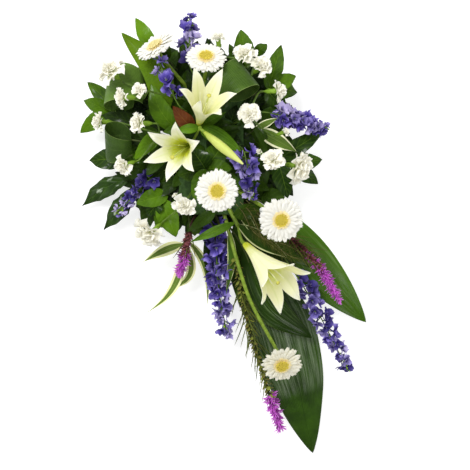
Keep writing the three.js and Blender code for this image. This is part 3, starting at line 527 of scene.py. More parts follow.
def petalLook(name, look):
    material, graph, u, v, tone, place = startLook(name)
    across = (u - 0.5).maths("ABSOLUTE") * 2
    stretched = graph.make("ShaderNodeCombineXYZ", None, [u * look["streaks"], v * 1.5, tone * 9])
    streak = graph.noise(stretched, 1.0, 2.0)
    blotch = graph.noise(place, 90.0, 3.0)
    out = graph.between(v + (blotch - 0.5) * 0.25, *look["baseTo"])
    colour = graph.mix(out, look["base"], look["middle"])
    colour = graph.mix(graph.between(v, 0.55, 1.0) * look["rimShow"], colour, look["rim"])
    colour = graph.mix(graph.between(streak, 0.45, 0.75) * look["streakShow"], colour, look["streak"])
    colour = graph.mix(graph.between(tone, 0.35, 1.0) * out * look["toneShow"], colour, look["toned"])
    if "shadow" in look:
        colour = graph.mix((1 - graph.between(tone, 0.0, 0.4)) * 0.75, colour, look["shadow"])
    if "ridge" in look:
        ridge = (1 - graph.between(across, 0.0, 0.22)) * (1 - graph.between(v, 0.5, 0.95))
        colour = graph.mix(ridge * 0.35, colour, look["ridge"])
    if "eye" in look:
        colour = graph.mix(graph.between(v, 1.4, 1.6), colour, look["eye"])
    # The part also glows in its own colour: painted light that lifts its shade.
    endLook(graph, colour, streak * 0.15 + look["roughness"], streak * 0.8 + blotch * 0.3, look["depth"] * mm,
            {"Specular IOR Level": 0.2, "Subsurface Weight": look["glow"], "Subsurface Scale": 4 * mm,
             "Subsurface Radius": (1.0, 0.95, 0.8), "Emission Color": colour,
             "Emission Strength": look["paintedGlow"]})
    return material


def plainLook(name, look):  # mottled and grained: stems, foam, tray
    material, graph, u, v, tone, place = startLook(name)
    blotch = graph.noise(place, look["scale"], 4.0)
    grain = graph.noise(place, look["grain"], 2.0)
    colour = graph.mix(graph.between(blotch * 0.8 + grain * 0.3, 0.35, 0.75), look["dark"], look["light"])
    endLook(graph, colour, grain * 0.2 + look["roughness"], grain * 0.7 + blotch * 0.3, look["depth"] * mm,
            {"Specular IOR Level": 0.3})
    return material


# What long blades, twig leaves and narrow leaves share; each look states what differs from these.
bladeLeaf = {"veins": "parallel", "sharp": 2.0, "veinShow": 0.3, "ribWidth": 0.03, "ribShow": 0.5,
    "roughness": 0.45, "shine": 0.12, "coat": 0.12, "coatRough": 0.25, "sheen": (9.0, 3.0),
    "edgeRagged": 0.02}
twigLeaf = {"veins": "pinnate", "count": 7.0, "slant": 1.6, "sharp": 5.0, "veinShow": 0.16,
    "ribWidth": 0.05, "ribShow": 0.5, "roughness": 0.46, "shine": 0.1, "depth": 0.7, "coat": 0.4,
    "coatRough": 0.2, "sheen": (2.5, 2.5)}
narrowLeaf = {"veins": "parallel", "count": 9, "sharp": 3.0, "veinShow": 0.25, "ribWidth": 0.08,
    "ribShow": 0.3, "roughness": 0.46, "shine": 0.15, "depth": 0.4, "coat": 0.25, "coatRough": 0.3,
    "sheen": (3.0, 2.0)}
leafLooks = {
    # its bloom is a painted sheen in pale streaks
    "aspidistra": {**bladeLeaf, "count": 26, "ribShow": 0.4, "dark": (0.008, 0.026, 0.001),
        "light": (0.05, 0.13, 0.004), "rib": (0.085, 0.18, 0.012), "roughness": 0.42, "depth": 1.6,
        "edge": (0.2, 0.3, 0.04), "edgeFrom": 0.965, "edgeShow": 0.6, "coat": 0.5,
        "bloom": (0.24, 0.36, 0.13), "bloomShow": 0.32, "bloomGrain": (22, 3.5), "bloomAt": (0.5, 0.75),
        "bloomFrom": (0.1, 0.3), "bloomTo": (0.85, 0.97)},
    # its bloom is a painted sheen in pale streaks over the middle of the blade
    "tailLeaf": {**bladeLeaf, "count": 30, "veinShow": 0.35, "ribWidth": 0.02,
        "dark": (0.008, 0.024, 0.001), "light": (0.044, 0.115, 0.004), "rib": (0.01, 0.03, 0.002),
        "roughness": 0.42, "depth": 1.8, "edge": (0.2, 0.3, 0.04), "edgeFrom": 0.97, "edgeShow": 0.5,
        "coat": 0.7, "bloom": (0.17, 0.22, 0.13), "bloomShow": 0.75, "bloomGrain": (34, 5),
        "bloomAt": (0.3, 0.75), "bloomFrom": (0.18, 0.36), "bloomTo": (0.66, 0.74), "sheen": (14.0, 3.0)},
    "loop": {**bladeLeaf, "count": 24, "veinShow": 0.45, "ribWidth": 0.02, "ribShow": 0.3,
        "dark": (0.016, 0.045, 0.003), "light": (0.1, 0.19, 0.022), "rib": (0.14, 0.24, 0.04), "depth": 1.4,
        "edge": (0.3, 0.4, 0.12), "edgeFrom": 0.955, "edgeShow": 0.9, "coatRough": 0.3},
    "yellowed": {**bladeLeaf, "count": 22, "dark": (0.022, 0.075, 0.001), "light": (0.115, 0.22, 0.002),
        "rib": (0.2, 0.3, 0.015), "shine": 0.1, "depth": 1.2, "sheen": (5.0, 3.0)},
    "salal": {**twigLeaf, "dark": (0.01, 0.032, 0.001), "light": (0.1, 0.215, 0.004),
        "rib": (0.15, 0.27, 0.02), "coat": 0.45},
    # a darker copy of the salal: painted shade for leaves deep in the head
    "under": {**twigLeaf, "ribShow": 0.4, "dark": (0.004, 0.012, 0.001), "light": (0.034, 0.08, 0.002),
        "rib": (0.07, 0.14, 0.01)},
    # its bloom paints glints as pale patches
    "fatsia": {**twigLeaf, "count": 5.0, "slant": 1.3, "sharp": 4.0, "veinShow": 0.3, "ribShow": 0.6,
        "dark": (0.005, 0.018, 0.001), "light": (0.03, 0.08, 0.003), "rib": (0.08, 0.17, 0.02),
        "roughness": 0.36, "shine": 0.2, "depth": 3.4, "coat": 1.0, "coatRough": 0.1,
        "bloom": (0.45, 0.53, 0.4), "bloomShow": 0.7, "bloomGrain": (2.6, 4.5), "bloomAt": (0.58, 0.66),
        "bloomFrom": (0.2, 0.3), "bloomTo": (0.8, 0.9), "sheen": (3.0, 3.0)},
    "variegated": {**narrowLeaf, "dark": (0.03, 0.08, 0.004), "light": (0.11, 0.19, 0.02),
        "rib": (0.3, 0.4, 0.1), "edge": (0.84, 0.84, 0.55), "edgeFrom": 0.72, "edgeRagged": 0.05},
    "paleStrip": {**narrowLeaf, "veinShow": 0.3, "ribWidth": 0.06, "ribShow": 0.5,
        "dark": (0.035, 0.085, 0.005), "light": (0.12, 0.2, 0.022), "rib": (0.3, 0.4, 0.1),
        "edge": (0.8, 0.82, 0.42), "edgeFrom": 0.5, "edgeRagged": 0.1},
    "lilyLeaf": {**narrowLeaf, "count": 7, "ribShow": 0.4, "dark": (0.016, 0.055, 0.001),
        "light": (0.1, 0.22, 0.005), "rib": (0.16, 0.3, 0.03), "roughness": 0.44, "shine": 0.12,
        "depth": 0.8, "coat": 0.4, "coatRough": 0.25},
    "copper": {**twigLeaf, "veinShow": 0.3, "ribWidth": 0.08, "dark": (0.04, 0.01, 0.003),
        "light": (0.14, 0.036, 0.007), "rib": (0.14, 0.07, 0.018), "roughness": 0.55, "shine": 0.06,
        "depth": 0.5, "coat": 0.05, "coatRough": 0.3, "sheen": (3.0, 2.0)},
    "paleEdged": {**narrowLeaf, "veinShow": 0.2, "ribWidth": 0.05, "dark": (0.01, 0.032, 0.002),
        "light": (0.045, 0.105, 0.006), "rib": (0.08, 0.15, 0.02), "roughness": 0.45, "shine": 0.12,
        "depth": 0.5, "edge": (0.62, 0.66, 0.32), "edgeFrom": 0.82, "edgeRagged": 0.08, "coat": 0.3,
        "coatRough": 0.25},
}
# Petals and small parts: coloured from base through middle to rim, with streaks, and some of them toned; some
# also glow in their own colour, which is painted light that lifts their shade.
petal = {"baseTo": (0.0, 0.5), "rimShow": 0.8, "streakShow": 0.3, "toneShow": 0.4, "roughness": 0.6,
    "depth": 0.2, "glow": 0.0, "paintedGlow": 0.0}
petalLooks = {
    "gerberaRay": {"base": (0.8, 0.64, 0.32), "middle": (0.8, 0.79, 0.71), "rim": (0.83, 0.82, 0.76),
        "streak": (0.7, 0.66, 0.55), "toned": (0.79, 0.76, 0.66), "baseTo": (0.1, 0.42), "streakShow": 0.35,
        "toneShow": 0.35, "streaks": 12, "roughness": 0.5, "glow": 0.3, "paintedGlow": 0.04},
    "creamRay": {"base": (0.8, 0.68, 0.3), "middle": (0.8, 0.77, 0.6), "rim": (0.82, 0.8, 0.68),
        "streak": (0.7, 0.65, 0.46), "toned": (0.79, 0.74, 0.54), "baseTo": (0.0, 0.4), "streakShow": 0.4,
        "streaks": 12, "roughness": 0.5, "glow": 0.3, "paintedGlow": 0.04},
    "lilyPetal": {"base": (0.56, 0.6, 0.02), "middle": (0.75, 0.74, 0.41), "rim": (0.77, 0.77, 0.62),
        "streak": (0.66, 0.68, 0.32), "toned": (0.74, 0.74, 0.62), "baseTo": (0.0, 0.32), "rimShow": 0.9,
        "toneShow": 0.8, "streaks": 18, "roughness": 0.42, "depth": 0.4, "ridge": (0.6, 0.66, 0.24),
        "glow": 0.3, "paintedGlow": 0.14},
    "stigma": {"base": (0.42, 0.42, 0.05), "middle": (0.52, 0.5, 0.08), "rim": (0.58, 0.55, 0.12),
        "streak": (0.4, 0.38, 0.05), "toned": (0.55, 0.52, 0.1), "rimShow": 0.5, "toneShow": 0.3,
        "streaks": 6},
    "carnationPetal": {"base": (0.62, 0.63, 0.36), "middle": (0.8, 0.78, 0.66), "rim": (0.84, 0.83, 0.75),
        "streak": (0.74, 0.7, 0.58), "toned": (0.78, 0.75, 0.62), "baseTo": (0.05, 0.5), "streaks": 9,
        "glow": 0.3, "paintedGlow": 0.1},
    "delphiniumPetal": {"base": (0.026, 0.018, 0.13), "middle": (0.1, 0.07, 0.38),
        "rim": (0.31, 0.25, 0.64), "streak": (0.032, 0.02, 0.19), "toned": (0.62, 0.55, 0.8),
        "baseTo": (0.0, 0.6), "streakShow": 0.45, "toneShow": 0.85, "shadow": (0.022, 0.016, 0.13),
        "streaks": 8, "roughness": 0.5, "depth": 0.5, "eye": (0.16, 0.13, 0.3), "paintedGlow": 0.04},
    "liatrisThread": {"base": (0.16, 0.02, 0.15), "middle": (0.5, 0.08, 0.52), "rim": (0.8, 0.32, 0.84),
        "streak": (0.3, 0.04, 0.32), "toned": (0.6, 0.16, 0.62), "baseTo": (0.0, 0.4), "streakShow": 0.2,
        "streaks": 3, "depth": 0.1, "shadow": (0.1, 0.012, 0.1)},
    "bract": {"base": (0.034, 0.044, 0.007), "middle": (0.13, 0.135, 0.022), "rim": (0.3, 0.15, 0.06),
        "streak": (0.05, 0.06, 0.01), "toned": (0.26, 0.31, 0.045), "streakShow": 0.4, "toneShow": 0.7,
        "streaks": 5},
    "redBract": {"base": (0.04, 0.018, 0.01), "middle": (0.12, 0.03, 0.028), "rim": (0.36, 0.12, 0.17),
        "streak": (0.06, 0.018, 0.014), "toned": (0.26, 0.08, 0.09), "baseTo": (0.1, 0.7),
        "streakShow": 0.4, "toneShow": 0.6, "streaks": 5},
    "grass": {"base": (0.06, 0.08, 0.01), "middle": (0.06, 0.085, 0.008), "rim": (0.09, 0.085, 0.015),
        "streak": (0.04, 0.05, 0.008), "toned": (0.15, 0.16, 0.02), "baseTo": (0.0, 0.3), "rimShow": 0.6,
        "streakShow": 0.4, "toneShow": 0.6, "streaks": 4, "roughness": 0.5, "depth": 0.1},
    "tendril": {"base": (0.24, 0.2, 0.08), "middle": (0.32, 0.27, 0.12), "rim": (0.22, 0.2, 0.08),
        "streak": (0.16, 0.13, 0.05), "toned": (0.22, 0.24, 0.08), "baseTo": (0.0, 0.3), "rimShow": 0.6,
        "streakShow": 0.4, "toneShow": 0.6, "streaks": 4, "depth": 0.1},
    "discFloret": {"base": (0.42, 0.31, 0.02), "middle": (0.6, 0.46, 0.035), "rim": (0.7, 0.58, 0.1),
        "streak": (0.48, 0.36, 0.03), "toned": (0.66, 0.56, 0.08), "baseTo": (0.0, 0.6), "rimShow": 0.7,
        "streakShow": 0.2, "toneShow": 0.5, "streaks": 4, "roughness": 0.7, "depth": 0.1},
    "paleFloret": {"base": (0.6, 0.5, 0.14), "middle": (0.72, 0.62, 0.24), "rim": (0.78, 0.7, 0.38),
        "streak": (0.64, 0.54, 0.18), "toned": (0.76, 0.68, 0.32), "baseTo": (0.0, 0.6), "rimShow": 0.7,
        "streakShow": 0.2, "toneShow": 0.5, "streaks": 4, "roughness": 0.7, "depth": 0.1},
    "discCollar": {"base": (0.68, 0.52, 0.12), "middle": (0.78, 0.64, 0.3), "rim": (0.8, 0.73, 0.48),
        "streak": (0.8, 0.7, 0.36), "toned": (0.8, 0.74, 0.46), "rimShow": 0.7, "streaks": 5, "depth": 0.1,
        "paintedGlow": 0.12},
    "budSkin": {"base": (0.36, 0.46, 0.05), "middle": (0.56, 0.62, 0.16), "rim": (0.62, 0.64, 0.26),
        "streak": (0.42, 0.52, 0.08), "toned": (0.6, 0.64, 0.2), "baseTo": (0.0, 0.35), "rimShow": 0.6,
        "streakShow": 0.5, "toneShow": 0.0, "streaks": 14, "roughness": 0.4, "depth": 0.4},
    "calyx": {"base": (0.12, 0.22, 0.015), "middle": (0.19, 0.33, 0.025), "rim": (0.26, 0.4, 0.05),
        "streak": (0.13, 0.25, 0.02), "toned": (0.22, 0.35, 0.04), "baseTo": (0.0, 0.6), "rimShow": 0.6,
        "streakShow": 0.4, "toneShow": 0.3, "streaks": 10, "roughness": 0.45},
}
plainLooks = {
    "stem": {"dark": (0.12, 0.19, 0.012), "light": (0.25, 0.37, 0.035), "scale": 120.0, "grain": 900.0,
        "roughness": 0.4, "depth": 0.2},
    "sprayStem": {"dark": (0.05, 0.1, 0.01), "light": (0.13, 0.22, 0.025), "scale": 120.0, "grain": 900.0,
        "roughness": 0.45, "depth": 0.2},
    "twig": {"dark": (0.03, 0.05, 0.008), "light": (0.08, 0.1, 0.02), "scale": 90.0, "grain": 900.0,
        "roughness": 0.55, "depth": 0.3},
    "foam": {"dark": (0.02, 0.05, 0.01), "light": (0.05, 0.11, 0.024), "scale": 160.0, "grain": 1500.0,
        "roughness": 0.75, "depth": 0.6},
    "tray": {"dark": (0.014, 0.04, 0.02), "light": (0.024, 0.062, 0.03), "scale": 30.0, "grain": 1800.0,
        "roughness": 0.35, "depth": 0.08},
}
looks = {name: leafLook(name, look) for name, look in leafLooks.items()}
looks.update({name: petalLook(name, {**petal, **look}) for name, look in petalLooks.items()})
looks.update({name: plainLook(name, look) for name, look in plainLooks.items()})
print("materials", len(looks))

# Aspidistra: plain leaves, and leaves rolled into loops

# entry: where the stem goes into the foam, in mm from the tray's middle; other places are in the view
aspidistras = {
    "tail": {"entry": (28, -104, 44), "by": [(246, 238, 44)], "base": (254, 256, 40),
        "bend": (288, 348, 26), "tip": (313, 453, 9), "width": 106, "roll": -8, "cup": -0.06, "rows": 80,
        "swell": 4.5, "waves": 3.2, "tone": 0.32, "look": "tailLeaf"},
    "tail_upper": {"entry": (14, -104, 48), "by": [(236, 236, 52)], "base": (244, 250, 52),
        "bend": (268, 304, 50), "tip": (312, 338, 30), "width": 50, "roll": 10, "cup": 0.06, "rows": 44,
        "swell": 1.0, "waves": 2, "tone": -0.1},
    "right": {"entry": (50, -70, 50), "by": [(258, 200, 50)], "base": (272, 207, 46),
        "bend": (318, 269, 44), "tip": (366, 322, 18), "width": 68, "roll": 6, "cup": -0.05, "rows": 60,
        "swell": 1.6, "waves": 1.6, "tone": 0.9},
    "top_left": {"entry": (-46, 42, 74), "by": [(172, 121, 80)], "base": (165, 116, 83),
        "bend": (157, 74, 88), "tip": (121.5, 32.4, 68), "width": 42, "roll": 0, "cup": 0.08, "rows": 44,
        "swell": 1.0, "waves": 2, "tone": 0.5, "look": "yellowed"},
}
rolls = {
    "left_upper": {"entry": (-50, 84, 58), "mouth": (123, 109, 92), "axis": (-0.1, -0.9, 0.42),
        "radius": 28, "width": 66, "start": (1, 0, -0.7), "tone": 0.7},
    "left_lower": {"entry": (-50, 4, 58), "mouth": (118, 127, 106), "axis": (0, 0.78, 0.63), "radius": 19.5,
        "width": 58, "start": (1, -0.4, -0.6), "tone": 0.08},
    "right": {"entry": (16, 76, 74), "mouth": (245, 98, 118), "axis": (0.6, -0.75, 0.26), "radius": 27.5,
        "width": 54, "start": (-0.6, -0.5, -0.7), "tone": 0.25},
}
rollTurn = math.radians(325)
petiole = 1.9  # radius in mm
twigLines = []  # every leaf stalk and woody stem, made in one go further down

for order, (name, leaf) in enumerate(aspidistras.items()):
    line = smoothLine([at(leaf[key]) for key in ("base", "bend", "tip")], leaf["rows"])
    shape = {key: leaf[key] for key in ("roll", "cup", "waves", "swell", "tone")}
    pile = Pile().leaf(line, leaf["width"], "pointed", columns=22, wave=0.02, fold=0.05, seed=order,
                       thickness=0.9 * mm, **shape)
    stalk = rootedLine(leaf["entry"], [*map(at, leaf["by"]), line[0], line[len(line) // 8]])
    twigLines.append(tapered(stalk, petiole, 0.6 * petiole))
    mesh = pile.mesh(name, [looks[leaf.get("look", "aspidistra")]])
    addPiece(f"aspidistra_leaf_{name}", [mesh], "aspidistra_leaf", f"aspidistra_{name}")

for order, (name, roll) in enumerate(rolls.items()):
    out = unit(np.array(roll["axis"], float))
    centre = at(roll["mouth"]) - out * roll["width"] / 2 * mm
    first = np.array(roll["start"], float)
    first = unit(first - out * first.dot(out))
    second = np.cross(out, first)
    v = np.linspace(0, 1, 73)
    u = np.linspace(-1, 1, 19)
    half = np.maximum(outlines["strap"](0.04 + 0.9 * v) * roll["width"] / 2, 0.6)
    reach = (roll["radius"] * (1 + 0.12 * v))[:, None] * (1 + 0.02 * np.sin(9 * v)[:, None] * u)
    spread = first * np.cos(rollTurn * v)[:, None] + second * np.sin(rollTurn * v)[:, None]
    grid = centre + (spread[:, None] * reach[..., None] + out * (u * half[:, None])[..., None]) * mm
    mesh = Pile().sheet(grid, 0.9 * mm, roll["tone"]).mesh(name, [looks["loop"]])
    joint = grid[2, 9]  # where the leaf's middle meets its stalk
    outside = joint + (first * 12 - second * 6) * mm
    stalk = rootedLine(roll["entry"], [outside, joint])
    twigLines.append(tapered(stalk, petiole, 0.7 * petiole))
    addPiece(f"aspidistra_loop_{name}", [mesh], "aspidistra_leaf", f"aspidistra_roll_{name}")
print("aspidistra leaves and loops", len(aspidistras) + len(rolls))

# Leafy twigs: each leaf starts at a share of its stem and ends at its own tip

# A leaf is: share of the stem, tip, width in mm, tone, and a bend to the side.
salals = {
    "north": {"entry": (-40, 104, 44), "by": [(174, 66, 56), (152, 50, 60)], "leaves": [
        (0.95, (135.5, 18, 58), 24, 0.8), (0.72, (168, 44, 84), 20, 0.2)]},
    "north_east": {"entry": (40, 104, 46), "by": [(246, 66, 50), (256, 54, 54)], "leaves": [
        (0.52, (241, 29.5, 66), 32, 0.3), (0.97, (267, 44, 58), 18, 0.2), (0.3, (229, 44, 60), 20, 0.2)]},
    "east": {"entry": (50, 76, 56), "by": [(262, 92, 60), (272, 88, 58)], "leaves": [
        (0.9, (296, 76, 56), 26, 0.5), (0.97, (297, 92, 46), 30, 0.2), (0.7, (285, 110, 44), 28, 0.1),
        (0.8, (281.5, 45, 64), 28, 0.3)]},
    "south_east": {"entry": (50, -22, 56), "by": [(272, 160, 60), (292, 165, 54)], "leaves": [
        (0.6, (323, 131, 46), 28, 0.0), (0.9, (322, 160, 52), 30, 0.1), (0.97, (318, 184, 42), 26, 0.1),
        (0.66, (288, 198, 50), 32, 0.0)]},
    "south_west": {"entry": (-50, -84, 60), "by": [(168, 194, 66), (160, 200, 66)], "leaves": [
        (0.5, (136, 203, 66), 29, 0.42), (0.97, (148, 216, 60), 26, 0.0), (0.93, (176, 237, 50), 34, 0.62),
        (0.93, (159, 233, 44), 20, 0.4)]},
    "west": {"entry": (-50, -14, 62), "by": [(150, 150, 66), (124, 158, 54)], "leaves": [
        (0.97, (90, 161, 38), 34, 0.0), (0.62, (136, 164, 90), 28, 0.08)]},
    "north_west": {"entry": (-50, 32, 50), "by": [(128, 112, 40), (106, 112, 38)], "leaves": [
        (0.9, (84, 100, 36), 24, 0.4), (0.97, (80.5, 133, 30), 26, 0.6), (0.7, (87.5, 82, 30), 26, 0.3)]},
    "centre": {"entry": (-6, -16, 74), "by": [(206, 168, 104), (206, 170, 116)], "leaves": [
        (0.9, (192, 149, 124), 34, 0.0), (0.97, (194, 200, 124), 28, 0.4), (0.7, (232, 168, 112), 28, 0.2),
        (0.5, (226, 142, 96), 34, 0.2), (0.45, (178, 176, 92), 34, 0.2), (0.3, (246, 190, 94), 22, 0.2)]},
}
fatsias = {
    "leaf": {"entry": (-50, -58, 50), "by": [(156, 177, 44), (146, 174, 42)], "leaves": [
        (0.9, (82, 206, 12), 30, 0.3, (-2, -6)), (0.97, (104, 230, 14), 30, 0.3)]},
}
variegateds = {
    "right": {"entry": (50, 14, 64), "by": [(256, 128, 84)], "look": "variegated",
              "outline": "lance", "leaves": [
        (0.97, (297, 152, 84), 24, 0.6), (0.8, (278, 118, 92), 12, 0.6)]},
    "left": {"entry": (-36, -104, 50), "by": [(190, 238, 46), (184, 244, 40)], "look": "paleStrip",
             "outline": "hair", "leaves": [
        (0.97, (143, 262, 26), 20, 0.5, (0, -2)), (0.93, (148, 312, 12), 16, 0.6, (8, 8)),
        (0.85, (166, 290, 22), 15, 0.7, (14, 8)), (0.7, (207, 306, 14), 14, 0.5, (8, -6))]},
}


def onLine(points, share):  # each stretch has the same share of the line
    stretch = min(int(share * (len(points) - 1)), len(points) - 2)
    return points[stretch] + (points[stretch + 1] - points[stretch]) * (share * (len(points) - 1) - stretch)


def addTwig(name, twig, look, slot, node, radius, shape):
    points = [np.array(twig["entry"]) * mm, *map(at, twig["by"])]
    stem = rootedLine(twig["entry"], points[1:])
    twigLines.append(tapered(stem, radius, 0.6 * radius))
    pile = Pile()
    for order, (share, tip, width, tone, *bend) in enumerate(twig["leaves"]):
        line = bowed(onLine(points, share), at(tip), shape.get("arch", 8), 22)
        if bend:  # sideways at its middle, in pixels of the view
            sideways = np.array([bend[0][0], -bend[0][1], 0]) * view["pixel"] * mm
            line = line + np.sin(np.linspace(0, np.pi, 23))[:, None] * sideways
        leafShape = {key: value for key, value in shape.items() if key != "arch"}
        pile.leaf(line, width, tone=tone, seed=sum(map(ord, name)) + order, **leafShape)
    addPiece(name, [pile.mesh(name, [looks[look]])], slot, node)


for name, twig in salals.items():
    addTwig(f"salal_leaves_{name}", twig, "salal", "salal_leaf", f"salal_{name}", 1.6,
            {"fold": 0.2, "wave": 0.06, "waves": 1.3, "quilt": 0.3, "frill": 0.02, "swell": 1.4})
for name, twig in fatsias.items():
    addTwig("fatsia_lobes", twig, "fatsia", "fatsia_leaf", f"fatsia_{name}", 2.0,
            {"outline": "lobe", "fold": 0.1, "wave": 0.09, "waves": 3.5, "quilt": 0.9, "frill": 0.06,
             "cup": -0.05, "columns": 14})
for name, twig in variegateds.items():
    addTwig(f"variegated_leaves_{name}", twig, twig["look"], "variegated_leaf", f"variegated_{name}", 1.3,
            {"outline": twig["outline"], "fold": 0.16, "wave": 0.06, "waves": 1.5, "twist": 8})
print("twigs", len(salals) + len(fatsias) + len(variegateds))

# Lilies

lilies = {
    "upper": {"base": (199, 123, 96), "mouth": (208, 91, 197), "reach": 43, "spin": -2, "upright": 4,
        "stigma": (3, -2), "tone": 0.5, "throat": 0.08, "wide": 1.12},
    "left": {"base": (189, 145.5, 88), "mouth": (171, 152, 188), "reach": 45, "spin": 20,
        "stigma": (-1, -9), "tone": 0.75},
    "tail": {"base": (245, 244, 88), "mouth": (284, 288, 152), "reach": (50, 46, 44, 43, 55, 59),
        "spin": 42, "stigma": (-4, 2), "tone": 0.4, "throat": 0.36, "wide": 1.4,
        "sweep": (-24, -21, 0, -9, -3, -24)},
}
lilyProfile = [(4.5, 0), (9, 26), (16.5, 52), (25, 76), (33.5, 94), (44, 104)]  # radius and height
lilyPetal = {"widths": (12.8, 13.8), "joined": (33, 36), "tube": 13, "curl": 4, "thickness": 0.9}
lilyBud = {"base": (203, 131, 122), "tip": (243, 164, 150), "radius": 7.2}
# A leaf is: share of the stem, tip, width, arch, outline, look, tone.
lilyStems = {
    "head": {"entry": (-16, 34, 74), "top": (200, 128, 106), "flowers": ["upper", "left"], "leaves": [
        (0.6, (241, 151, 118), 26, 14, "ovate", "lilyLeaf", 0.35),
        (0.8, (176, 131, 104), 15, 8, "lance", "lilyLeaf", 0.5),
        (0.5, (226, 112, 104), 15, 4, "lance", "lilyLeaf", 0.3),
        (0.2, (172, 122, 82), 24, 4, "ovate", "copper", 0.5),
        (0.35, (216, 86, 92), 34, 8, "ovate", "salal", 0.1),
        (0.25, (163, 132, 90), 24, 8, "ovate", "salal", 0.3)]},
    "tail": {"entry": (26, -92, 74), "top": (238, 226, 86), "flowers": ["tail"], "leaves": [
        (0.8, (190.5, 242, 92), 15, 8, "lance", "lilyLeaf", 0.45),
        (0.9, (288, 258, 80), 26, 2, "lance", "paleEdged", 0.3),
        # this leaf takes the darker under-leaf look, which paints shade
        (0.5, (262, 206, 92), 24, 6, "lance", "under", 0.8)]},
}


def below(foot, toward, distance):
    return foot - unit(toward - foot) * distance * mm


def addLily(name, lily):
    foot, mouth = at(lily["base"]), at(lily["mouth"])
    length = np.linalg.norm(mouth - foot) / mm
    usualRadius, usualLength = lilyProfile[-1]
    profile = smoothLine([np.array([r, z, 0.0]) for r, z in lilyProfile], 60)
    rows, columns = 34, 14
    s = np.linspace(0, 1, rows + 1)
    a = np.linspace(-1, 1, columns + 1)
    middleRadius, middleHeight = (np.interp(s, np.linspace(0, 1, 61), profile[:, k]) for k in (0, 1))
    tube = lilyPetal["tube"]
    beyond = np.clip((middleRadius - tube) / (profile[-1, 0] - tube), 0, 1)
    height = (middleHeight * length / usualLength)[:, None]
    lobe = ramp(s, 0.62, 1.0)[:, None]
    pile = Pile()
    rand = np.random.default_rng(sum(map(ord, name)))
    for order in range(6):
        inner = order % 2
        flare = 1 + (np.broadcast_to(lily["reach"], 6)[order] / usualRadius - 1) * s ** 2
        radius = (middleRadius * flare - (0.6 if inner else 0.0))[:, None]
        halfWidth = lilyPetal["widths"][inner] * (1 - beyond) ** 0.85 * (1 + 0.2 * np.sin(np.pi * beyond))
        halfWidth = halfWidth * lily.get("wide", 1.06)
        joined = math.radians(lilyPetal["joined"][inner])
        spread = np.minimum(np.maximum(halfWidth / np.maximum(middleRadius, 1), 0.012), joined)
        angle = spread[:, None] * a + math.radians(lily["spin"] + 60 * order)
        angle = angle + math.radians(lily.get("sweep", [0] * 6)[order]) * ramp(s, 0.45, 1.0)[:, None]
        curl = rand.uniform(0, lilyPetal["curl"])
        away = radius + lobe * (rand.uniform(-1, 1) + 1.2 * np.sin(7 * s + order)[:, None] * a)
        raised = height - lobe ** 2 * curl + lobe * a ** 2 * 1.5
        if order == lily.get("upright"):  # the petal nearest to the eye, which hides the throat
            away, raised = away - lobe * 17, raised + lobe * 10
        raised = raised - 0.7 * np.exp(-(a / 0.16) ** 2) * ramp(s, 0.25, 0.5)[:, None]
        grid = np.stack([away * np.cos(angle), away * np.sin(angle), raised], -1) * mm
        pile.sheet(grid, lilyPetal["thickness"] * mm, lily["tone"] + rand.uniform(0, 0.25))
        inside = pile.uvs[-1][(rows + 1) * (columns + 1):]  # the green reaches further up inside
        inside[:, 1] -= lily.get("throat", 0.3) * (1 - ramp(inside[:, 1], 0.6, 1.0))
    for i in range(6):  # filaments
        turn = math.radians(60 * i + 30 + lily["spin"])
        bend = ((3, 6), (6, 0.5 * length), (11, 0.84 * length))
        line = smoothLine([(around(turn) * r + up * z) * mm for r, z in bend], 8)
        pile.tube(*tapered(line, 0.8, 0.5), 5, slot=1 if name == "left" else 0)
    top = np.array([*lily["stigma"], 0.9 * length]) * mm
    line = smoothLine([np.array([0, 0, 4]) * mm, top * (0.4, 0.4, 0.5), top], 10)
    pile.tube(*tapered(line, 1.5, 1.2), 7, slot=1)
    knob = np.array([[0, 0, -2.4], [0, 0, -1.2], [0, 0, 0.4], [0, 0, 1.6]]) * mm + top
    pile.tube(knob, np.array([1.3, 3.0, 3.4, 1.6]) * mm, 9, slot=2)
    mesh = pile.mesh(name, [looks["lilyPetal"], looks["budSkin"], looks["stigma"]])
    addPiece(f"lily_bloom_{name}", [moved(mesh, foot, unit(mouth - foot))], "lily_petal", f"lily_{name}")


for name, lily in lilies.items():
    addLily(name, lily)

rings, sides = 25, 24  # a spindle with three soft ridges
t = np.linspace(0, 1, rings)
line = smoothLine([at(lilyBud["base"]), at(lilyBud["tip"])], rings - 1)
girth = np.maximum(lilyBud["radius"] * np.sin(np.pi * (0.09 + 0.84 * t ** 0.95)) ** 1.1, 1.2)
angles = np.linspace(0, 2 * np.pi, sides, endpoint=False)
budPile = Pile().tube(line, girth * mm, sides)
skin = budPile.points[0][:rings * sides].reshape(rings, sides, 3)
ridge = 1 + 0.07 * np.cos(3 * angles)[None, :, None] * np.sin(np.pi * t)[:, None, None]
budPile.points[0][:rings * sides] = (line[:, None] + (skin - line[:, None]) * ridge).reshape(-1, 3)
addPiece("lily_bud_skin", [budPile.mesh("bud", [looks["budSkin"]])], "lily_bud", "lily_bud")

